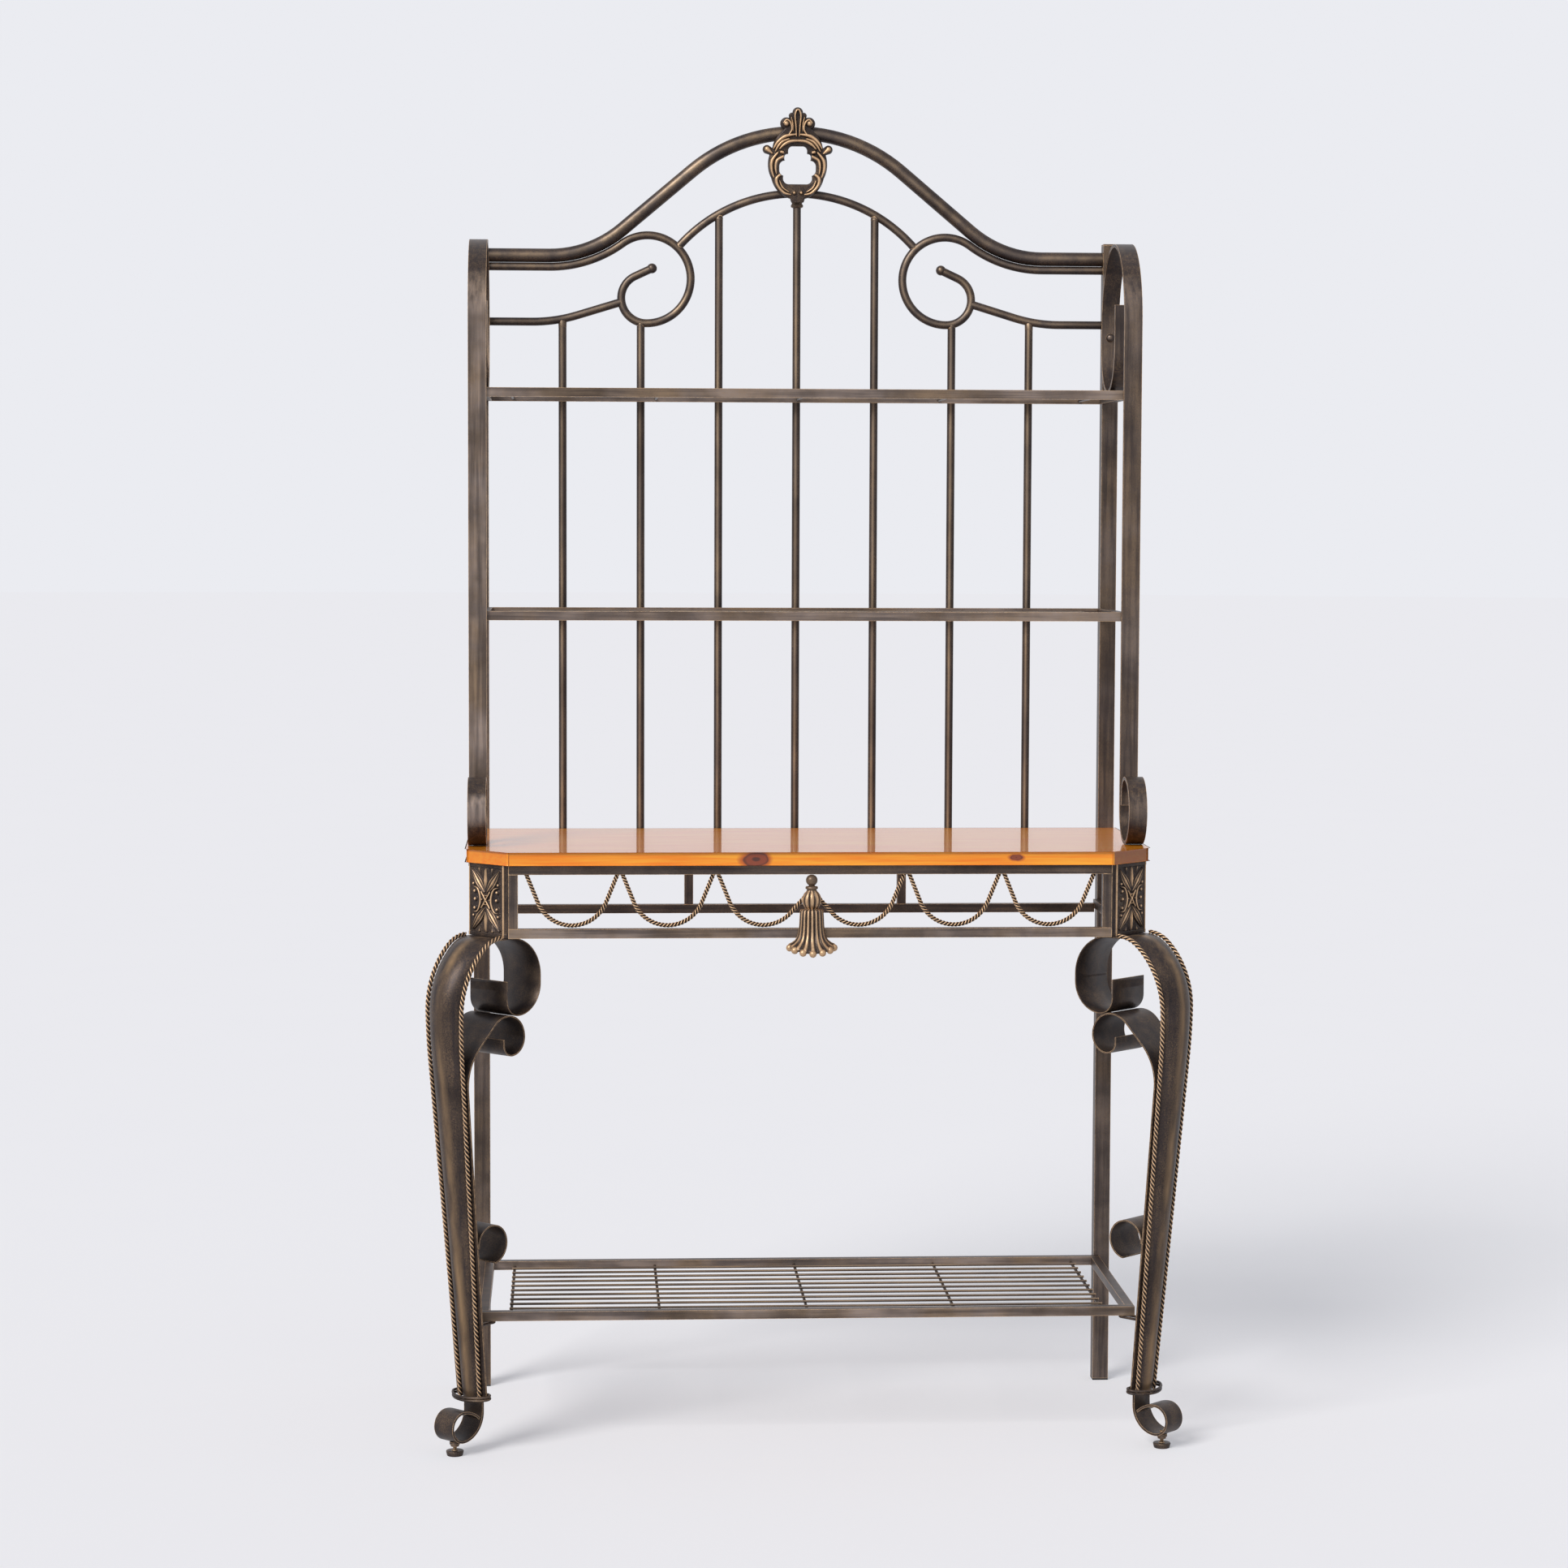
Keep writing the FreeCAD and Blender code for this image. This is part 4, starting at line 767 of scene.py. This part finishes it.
def tassel_profile():
    ball = [(math.sqrt(max(TASSEL_BALL ** 2 - (z - TASSEL_BALL_Z) ** 2, 0.5)), z)
            for z in np.linspace(TASSEL_BALL_Z + 8.5, TASSEL_BALL_Z - 7.8, 12)]
    neck = [(5.4, 858.6), (8.2, 858.2), (9.4, 857.0), (9.4, 854.6), (7.6, 853.6), (7.4, 852.4)]
    bead = [(8.0 + (TASSEL_BEAD - 8.0) * math.sin(math.pi * t) ** 0.7, BEAD_TOP + (SKIRT_TOP - BEAD_TOP) * t)
            for t in np.linspace(0.02, 0.97, 14)]
    skirt = [(13.0, 823.6), (16.6, 823.2), (18.0, 821.0), (18.6, 812.0), (19.2, 800.0), (20.2, 790.0),
             (22.0, 783.0), (25.5, 777.5), (30.5, 773.8), (35.0, HEM_Z), (36.4, 769.6), (35.6, 766.6),
             (32.0, 765.6)]
    return ball + neck + bead + skirt


def tassel_flute(radius, z, angle):
    """Lobes on the bead, folds on the skirt, and a hem that hangs lower in front."""
    front = angle - 1.5 * math.pi
    if BEAD_TOP > z > SKIRT_TOP:
        lobe = abs(math.cos(LOBES * front)) ** 0.55
        return radius * (1 - LOBE_DEPTH + LOBE_DEPTH * lobe), z, 0.85 * lobe ** 2
    if z <= SKIRT_TOP:
        fold = abs(math.cos(FOLDS * front))
        fade = min(1.0, max(0.0, (z - FOLD_END) / FOLD_FADE))
        dip = HEM_DIP * math.cos(front) ** 2 * min(1.0, max(0.0, (radius - HEM_FROM) / HEM_SPAN))
        return radius - FOLD_DEPTH * (1 - fold ** 0.8) * fade, z - dip, 0.9 * fold ** 3 * fade
    return radius, z, 0.35


def turned_ball(name, centre, radius, material, worn=0.8):
    profile = [(radius * math.cos(turn), centre[2] + radius * math.sin(turn))
               for turn in np.linspace(-BALL_POLE, BALL_POLE, BALL_RINGS)]
    return turned(name, profile, centre[:2], BAR_AROUND, material, lambda r, z, angle: (r, z, worn))


def tassel(material):
    body = turned("tassel_body", tassel_profile(), (0, TASSEL_Y), TASSEL_AROUND, material, tassel_flute,
                  start=180, sweep=180)
    finish_piece(body, "bronze_highlight", "tassel")
    for index in range(DROPS):
        angle = math.radians(-90 + (index - DROPS // 2) * DROP_TURN)
        dip = HEM_DIP * math.sin(angle) ** 2
        centre = (DROP_REACH * math.cos(angle), TASSEL_Y + DROP_REACH * math.sin(angle), DROP_Z - dip)
        drop = turned_ball(f"tassel_drop_{index + 1}", centre, DROP_BALL, material)
        finish_piece(drop, "bronze_highlight", "tassel")
    boss = relief_piece("tassel_boss", BOSS_GRID, -BOSS_GRID, BOSS_GRID, 2 * FINE_GRID,
                        lambda x, z: np.hypot(x, z) - BOSS, lambda x, z: (np.zeros_like(x),) * 2,
                        BOSS_BACK - TASSEL_Y, lambda x, lift, z: Vector((x, TASSEL_Y - lift, BEAD_Z + z)),
                        material)
    finish_piece(boss, "bronze_highlight", "tassel")


# ---- levellers ----

SCREW = 3.0
SCREW_TOP = 27.0
THREAD = 1.0
PAD_TOP = 8.0
KNURLS, KNURL_DEPTH = 34, 0.35
KNURL_LOW, KNURL_HIGH, KNURL_INSIDE = 0.5, 7.2, 11.0


def leveller_profile():
    pad = [(10.5, 0.0), (11.6, 0.2), (12.1, 0.9), (13.3, 6.2), (13.4, 6.9), (12.7, PAD_TOP - 0.2),
           (12.0, PAD_TOP), (5.0, PAD_TOP), (4.6, PAD_TOP + 1.2), (SCREW, PAD_TOP + 1.4)]
    turns = int((SCREW_TOP - PAD_TOP - 2) / THREAD)
    thread = []
    for index in range(turns):
        z = PAD_TOP + 1.6 + index * THREAD
        thread += [(SCREW - 0.45, z + THREAD * 0.1), (SCREW, z + THREAD * 0.6)]
    return pad + thread + [(SCREW - 0.5, SCREW_TOP)]


def knurl(radius, z, angle):
    """Upright grooves round the pad's side."""
    if radius <= KNURL_INSIDE:
        return radius, z, 0.1
    cut = KNURL_DEPTH * (1 - abs(math.cos(KNURLS * angle / 2))) if KNURL_LOW < z < KNURL_HIGH else 0.0
    return radius - cut, z, 0.2


def levellers(material):
    for word, _ in SIDES:
        low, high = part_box(f"leveller_{word}")
        axis = ((low[0] + high[0]) / 2 / MM, ((low[1] + high[1]) / 2 - FRONT_Y) / MM)
        screw = turned(f"leveller_screw_{word}", leveller_profile(), axis, 4 * KNURLS, material, knurl)
        finish_piece(screw, "screw_steel", f"leveller_{word}", body=f"{word}_leveller")


# ---- counter ----

# plan corners, the rounded top edge, and the lower edge as (inset, height)
EDGE_ROUND = 4.0
CORNER_STEPS = 6
TOP_ROUND, TOP_POINTS = 2.5, 6
LOWER_EDGE = ((2.2, 0.0), (0.5, 0.3), (0.0, 1.2))
FLAT_INSET = 3.9


def counter_ring(inset, z):
    """The counter's outline moved in by inset, with small round corners."""
    corners = [(-HALF_WIDTH, DEPTH), (-HALF_WIDTH, CORNER_CUT), (CORNER_CUT - HALF_WIDTH, 0.0),
               (HALF_WIDTH - CORNER_CUT, 0.0), (HALF_WIDTH, CORNER_CUT), (HALF_WIDTH, DEPTH)]
    ring = []
    for index, (x, y) in enumerate(corners):
        before, after = corners[index - 1], corners[(index + 1) % len(corners)]
        first = math.atan2(before[0] - x, y - before[1]) + math.pi
        last = math.atan2(x - after[0], after[1] - y) + math.pi
        turn = (last - first + math.pi) % (2 * math.pi) - math.pi
        middle = first + turn / 2
        reach = EDGE_ROUND / math.cos(turn / 2)
        centre = (x - reach * math.cos(middle), y - reach * math.sin(middle))
        for step in range(CORNER_STEPS + 1):
            angle = first + turn * step / CORNER_STEPS
            ring.append((centre[0] + (EDGE_ROUND - inset) * math.cos(angle),
                         centre[1] + (EDGE_ROUND - inset) * math.sin(angle), z))
    return ring


def counter(material):
    profile = [(FLAT_INSET, COUNTER_LOW)] + [(inset, COUNTER_LOW + rise) for inset, rise in LOWER_EDGE]
    profile += [(TOP_ROUND * (1 - math.cos(turn)), COUNTER_HIGH - TOP_ROUND * (1 - math.sin(turn)))
                for turn in np.linspace(0, math.pi / 2, TOP_POINTS)]
    profile.append((FLAT_INSET, COUNTER_HIGH))
    points, faces = [], []
    for inset, z in profile:
        points += counter_ring(inset, z)
    join_rings(faces, len(profile), len(points) // len(profile))
    slab = make_object("counter_slab", points, faces, material, sharp_angle=40)
    finish_piece(slab, "counter_wood", "counter_top")


# ---- materials ----

NOISE_ROUGHNESS = 0.55
EDGE_SAMPLES = 6
BAND_INWARD = 5.0


class NodeTree:
    """The nodes of a world or a material."""

    def __init__(self, owner):
        owner.use_nodes = True
        self.nodes, self.links = owner.node_tree.nodes, owner.node_tree.links

    def feed(self, node, sockets):
        """Links or constants on a node's sockets, by name or number."""
        for name, value in sockets.items():
            socket = node.inputs[name]
            if hasattr(value, "is_linked"):
                self.links.new(value, socket)
            elif socket.type == "RGBA":
                socket.default_value = (*value, 1)
            else:
                socket.default_value = value

    def put(self, kind, sockets, **settings):
        node = self.nodes.new(kind)
        for name, value in settings.items():
            setattr(node, name, value)
        self.feed(node, sockets)
        return node

    def math(self, operation, a, b=0.0):
        return self.put("ShaderNodeMath", {0: a, 1: b}, operation=operation).outputs[0]

    def seen(self):
        """1 for what the camera or a shiny surface looks at, 0 for the light that things get."""
        path = self.put("ShaderNodeLightPath", {}).outputs
        return self.math("MAXIMUM", path["Is Camera Ray"], path["Is Glossy Ray"])


class Shader(NodeTree):
    """A material's nodes, with short calls for those that the finishes use."""

    def __init__(self, name):
        self.material = bpy.data.materials.new(name)
        super().__init__(self.material)
        self.main = self.nodes["Principled BSDF"]
        self.place = self.put("ShaderNodeTexCoord", {}).outputs["Object"]
        self.normal = self.put("ShaderNodeNewGeometry", {}).outputs["Normal"]

    def surface(self, **sockets):
        """Links or constants on the material's own sockets, with _ for the spaces in their names."""
        self.feed(self.main, {name.replace("_", " "): value for name, value in sockets.items()})

    def vector_math(self, operation, a, b=(0.0, 0.0, 0.0)):
        return self.put("ShaderNodeVectorMath", {0: a, 1: b}, operation=operation)

    def scaled(self, scale):
        return self.put("ShaderNodeMapping", {"Vector": self.place, "Scale": scale}).outputs[0]

    def noise(self, scale, detail, vector=None):
        sockets = {"Vector": vector or self.place, "Scale": scale, "Detail": detail,
                   "Roughness": NOISE_ROUGHNESS}
        return self.put("ShaderNodeTexNoise", sockets).outputs["Fac"]

    def ramp(self, value, low, high, bottom=0.0, top=1.0):
        """From bottom to top as value goes from low to high, and level outside them."""
        sockets = {"Value": value, "From Min": low, "From Max": high, "To Min": bottom, "To Max": top}
        return self.put("ShaderNodeMapRange", sockets).outputs[0]

    def mix(self, share, a, b):
        return self.put("ShaderNodeMix", {"Factor": share, 6: a, 7: b}, data_type="RGBA").outputs[2]

    def attribute(self, name):
        return self.put("ShaderNodeAttribute", {}, attribute_name=name).outputs["Fac"]

    def bump(self, height, strength, distance):
        sockets = {"Height": height, "Strength": strength, "Distance": distance}
        return self.put("ShaderNodeBump", sockets).outputs[0]

    def facing(self, direction):
        """How far the surface's own normal points along a fixed direction of the room."""
        return self.vector_math("DOT_PRODUCT", self.normal, direction).outputs["Value"]

    def distance(self, centre, stretch):
        """Distance from a fixed place, with each axis scaled."""
        away = self.vector_math("SUBTRACT", self.place, centre).outputs[0]
        away = self.vector_math("MULTIPLY", away, stretch).outputs[0]
        return self.vector_math("LENGTH", away).outputs["Value"]

    def leg_band(self):
        """Share that is 1 down the middle of each front leg and fades across it: where the leg's painted
        highlight goes, partly also paint rubbed through on the shell's crown.
        """
        parts = self.put("ShaderNodeSeparateXYZ", {0: self.place}).outputs
        across = self.math("ADD", self.math("ABSOLUTE", parts["X"]), parts["Y"])
        across = self.math("SUBTRACT", across, (CORNER_X + CORNER_Y - BAND_INWARD) * MM + FRONT_Y)
        return self.ramp(self.math("ABSOLUTE", across), 0.002, 0.015, 1.0, 0.0)

    def edges(self, radius):
        """Share from 0 to 1 of how close a point lies to a sharp edge."""
        bevel = self.put("ShaderNodeBevel", {"Radius": radius}, samples=EDGE_SAMPLES)
        bent = self.vector_math("DOT_PRODUCT", bevel.outputs[0], self.normal).outputs["Value"]
        return self.ramp(bent, 0.985, 0.86)


DARK = (0.013, 0.011, 0.014)
DUSK = (0.038, 0.032, 0.036)
# BROWN colours the fine speckle and the painted highlight down the front legs; FACE and WARM_FACE the painted
# highlights on front faces and round bars; TAN the narrow painted highlight line on bars
BROWN = (0.34, 0.22, 0.12)
FACE = (0.36, 0.295, 0.265)
WARM_FACE = (0.27, 0.195, 0.135)
TAN = (0.56, 0.41, 0.26)
GOLD = (0.82, 0.54, 0.31)
# directions that catch the light
FRONT = (-0.22, -0.97, 0.10)
UP_FRONT = (-0.20, -0.80, 0.57)
# noise per metre along each axis: small along the brush strokes
ALONG_X = (5.0, 130.0, 130.0)
ALONG_Z = (130.0, 130.0, 5.0)
ALL_WAYS = (45.0, 45.0, 45.0)
BAND_GRAIN = (40.0, 40.0, 9.0)
SPECK_NOISE, PATCH_NOISE, TONE_NOISE, WEAR_NOISE, BUMP_NOISE = 1000.0, 13.0, 9.0, 160.0, 900.0
# the two parts of a round bar's highlight: how narrow and how strong
SOFT_POWER, SOFT_SHARE = 5.0, 0.32
LINE_POWER, LINE_SHARE = 14.0, 0.8


def bar_highlight(shader, base, tone, lit, brushed, stripe):
    """A painted soft highlight along a round bar, and a narrow painted highlight line inside it, broken up by
    brush strokes.
    """
    soft = shader.math("MULTIPLY", shader.math("POWER", lit, SOFT_POWER), SOFT_SHARE * stripe)
    line = shader.math("MULTIPLY", shader.math("POWER", lit, LINE_POWER), LINE_SHARE * stripe)
    highlight_line = shader.math("MULTIPLY", line, shader.ramp(brushed, 0.0, 0.7, 0.15, 1.0))
    return shader.mix(highlight_line, shader.mix(soft, base, tone), TAN)


def gold_share(shader, edge_radius):
    """Where the paint is rubbed through: on high spots by the rub attribute, and on sharp edges."""
    worn = shader.ramp(shader.noise(WEAR_NOISE, 3.0), 0.3, 0.6, 0.3, 1.0)
    rubbed = shader.ramp(shader.attribute("rub"), 0.25, 1.0)
    gold = shader.math("MULTIPLY", rubbed, shader.ramp(worn, 0.3, 1, 0.75, 1))
    if not edge_radius:
        return gold
    return shader.math("MAXIMUM", gold, shader.math("MULTIPLY", shader.edges(edge_radius), worn))


def bronze_material(name, face=0.0, stripe=0.0, band=0.0, grain=ALL_WAYS, toward=FRONT, stripe_end=0.5,
                    edge_radius=0.0014):
    """Near-black bronze paint with a fine speckle, brushed back to gold on edges and high spots.

    face paints a highlight on what looks to the front, stripe paints the highlight along a round bar, and
    band paints one down the middle of a front leg, partly also paint rubbed through there; stripe_end is how
    far round the bar its highlight reaches."""
    shader = Shader(name)
    fine = shader.ramp(shader.noise(SPECK_NOISE, 3.0), 0.40, 0.72)
    streak = shader.ramp(shader.noise(1.0, 4.0, shader.scaled(grain)), 0.36, 0.64, 0.12, 1.0)
    patch = shader.ramp(shader.noise(PATCH_NOISE, 3.0), 0.33, 0.67, 0.25, 1.0)
    brushed = shader.math("MULTIPLY", streak, patch)
    facing = shader.facing(toward)
    base = shader.mix(patch, DARK, DUSK)
    tone = shader.mix(shader.ramp(shader.noise(TONE_NOISE, 4.0), 0.42, 0.62), FACE, WARM_FACE)
    # painted highlight: faces that look along toward get the lighter tone, broken up by brush strokes
    if face:
        lit = shader.ramp(facing, 0.84, 0.98, 0.0, face)
        share = shader.math("MULTIPLY", lit, shader.ramp(brushed, 0.0, 0.7, 0.2, 1.0))
        base = shader.mix(share, base, tone)
    # painted highlight along a round bar, on the side that looks along toward
    if stripe:
        base = bar_highlight(shader, base, tone, shader.ramp(facing, stripe_end, 1.0), brushed, stripe)
    # painted highlight down the middle of each front leg in brown streaks, partly also paint rubbed through
    # on the crown
    if band:
        broad = shader.ramp(shader.noise(1.0, 3.0, shader.scaled(BAND_GRAIN)), 0.35, 0.65, 0.15, band)
        base = shader.mix(shader.math("MULTIPLY", shader.leg_band(), broad), base, BROWN)
    speck = shader.math("MULTIPLY", fine, shader.ramp(brushed, 0.0, 0.8, 0.1, 0.65))
    base = shader.mix(speck, base, BROWN)
    shader.surface(Base_Color=shader.mix(gold_share(shader, edge_radius), base, GOLD), Metallic=0.45,
                   Specular_IOR_Level=0.2, Roughness=shader.ramp(fine, 0, 1, 0.36, 0.48),
                   Normal=shader.bump(shader.noise(BUMP_NOISE, 2.0), 0.1, 0.0003))
    return shader.material


def paper_material():
    """White paper that keeps its shadows; the camera sees it as bright as the backdrop."""
    shader = Shader("paper")
    tone = shader.ramp(shader.noise(3.0, 2.0), 0.3, 0.7, 0.0, 0.2)
    shader.surface(Base_Color=shader.mix(tone, (0.62, 0.62, 0.64), (0.60, 0.60, 0.63)), Roughness=0.95,
                   Specular_IOR_Level=0.0, Emission_Color=(0.94, 0.95, 1.0),
                   Emission_Strength=shader.ramp(shader.seen(), 0, 1, 0.0, FLOOR_GLOW))
    return shader.material


def plastic_material():
    shader = Shader("foot_plastic")
    tone = shader.noise(200.0, 2.0)
    colour = shader.mix(tone, (0.015, 0.014, 0.014), (0.04, 0.036, 0.034))
    shader.surface(Base_Color=colour, Roughness=0.55)
    return shader.material


# knots on the front edge: x, height and half length; their rings: outer and inner share, and colour
KNOTS = ((-83.6, 899.0, 29.0), (308.4, 901.0, 15.0))
KNOT_FLATTEN = 2.0
PINE, AMBER, TOP_SHADE = (1.0, 0.45, 0.03), (0.90, 0.20, 0.0), (0.30, 0.07, 0.012)
END_GRAIN, SHADED_END = (0.68, 0.18, 0.0), (0.14, 0.025, 0.0)
KNOT_RINGS = ((1.0, 0.75, (0.50, 0.10, 0.012)), (0.72, 0.64, (0.10, 0.022, 0.012)),
              (0.60, 0.50, (0.26, 0.05, 0.018)), (0.22, 0.12, (0.06, 0.016, 0.012)))


def wood_material():
    """Lacquered pine: planks glued side by side, grain along X, a few ringed knots; painted shade darkens the
    faces that look up or to the right.
    """
    shader = Shader("counter_wood")
    grain = shader.noise(6.0, 5.0, shader.scaled((1.0, 26.0, 26.0)))
    lines = shader.noise(30.0, 4.0, shader.scaled((0.5, 16.0, 16.0)))
    broad = shader.noise(2.4, 2.0, shader.scaled((1.0, 3.0, 3.0)))
    tone = shader.ramp(grain, 0.38, 0.62, 0.0, 0.5)
    tone = shader.math("ADD", tone, shader.ramp(lines, 0.42, 0.62, 0.0, 0.25))
    tone = shader.math("ADD", tone, shader.ramp(broad, 0.42, 0.6, 0.0, 0.3))
    colour = shader.mix(tone, PINE, AMBER)
    side = shader.facing((1.0, 0.0, 0.0))
    ends = shader.ramp(shader.math("ABSOLUTE", side), 0.3, 0.75, 0.0, 0.7)
    colour = shader.mix(ends, colour, END_GRAIN)
    # painted shade: faces that look right, away from the light, are darker
    colour = shader.mix(shader.ramp(side, 0.3, 0.75, 0.0, 0.65), colour, SHADED_END)
    # painted shade: faces that look up are darker and redder
    top = shader.ramp(shader.facing((0.0, 0.0, 1.0)), 0.6, 0.95, 0.0, 0.35)
    colour = shader.mix(top, colour, TOP_SHADE)
    wobble = shader.noise(40.0, 2.0)
    for x, z, half in KNOTS:
        away = shader.distance((x * MM, FRONT_Y, z * MM), (1.0, 1.0, KNOT_FLATTEN))
        away = shader.math("ADD", away, shader.ramp(wobble, 0.3, 0.7, -0.003, 0.003))
        share = shader.ramp(away, 0.0, half * MM)
        for outer, inner, tint in KNOT_RINGS:
            colour = shader.mix(shader.ramp(share, outer, inner, 0.0, 0.9), colour, tint)
    shader.surface(Base_Color=colour, Roughness=0.4, Specular_IOR_Level=0.2, Coat_Weight=0.75,
                   Coat_Roughness=0.05)
    return shader.material


# ---- finishes on the CAD's own pieces ----

def dress_cad(strip, rod, bent):
    """Brush strokes run along straight pieces. The paints are lit and shaded copies: pieces in the light get
    a stronger painted front highlight, and those at the back or away from the light a weaker one, as painted
    shade.
    """
    bright = bronze_material("bar_paint", face=1.0, grain=ALONG_Z)
    upright = bronze_material("upright_paint", face=0.36, grain=ALONG_Z)
    level = bronze_material("rail_paint", face=0.9, grain=ALONG_X)
    shaded = bronze_material("shaded_rail_paint", face=0.2, grain=ALONG_X)
    paints = (("rear_leg_feet", plastic_material()),
              ("side_bar_left", bright), ("side_bar_right", upright), ("hutch_post", upright),
              ("rear_leg", upright), ("apron_uprights", upright), ("rear_apron", shaded),
              ("side_apron", shaded), ("front_apron_top", shaded),
              ("leg_", strip), ("foot_", strip), ("ankle", strip), ("corner_casing", strip),
              ("back_rods", rod), ("crest_tube", bent), ("arch_rod", bent))
    for node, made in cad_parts.items():
        made.data.materials.clear()
        made.data.materials.append(next((paint for start, paint in paints if node.startswith(start)), level))


# strip_paint has a weak painted front highlight; rod_paint and bent_rod_paint a painted highlight along each
# bar
strip = bronze_material("strip_paint", face=0.25)
rod = bronze_material("rod_paint", stripe=0.9, grain=ALONG_Z)
bent = bronze_material("bent_rod_paint", stripe=0.8)
cast = bronze_material("bronze_highlight", edge_radius=0.0)
make_world()
make_sun()
make_camera()
make_floor()
dress_cad(strip, rod, bent)
leg_strips(bronze_material("leg_paint", band=0.75, grain=ALONG_Z), strip)
leg_ropes(cast)
wing_rods(bent)
scroll_rods(bent)
weld_beads(rod)
# the wires get a painted highlight along their upper front side
shelf_wires(bronze_material("wire_paint", stripe=1.0, grain=ALONG_X, toward=UP_FRONT, stripe_end=-0.2))
swags(cast)
corner_plates(cast)
cartouche(cast)
tassel(cast)
# the leveller screws get a weak painted highlight along them
levellers(bronze_material("screw_steel", stripe=0.3))
counter(wood_material())
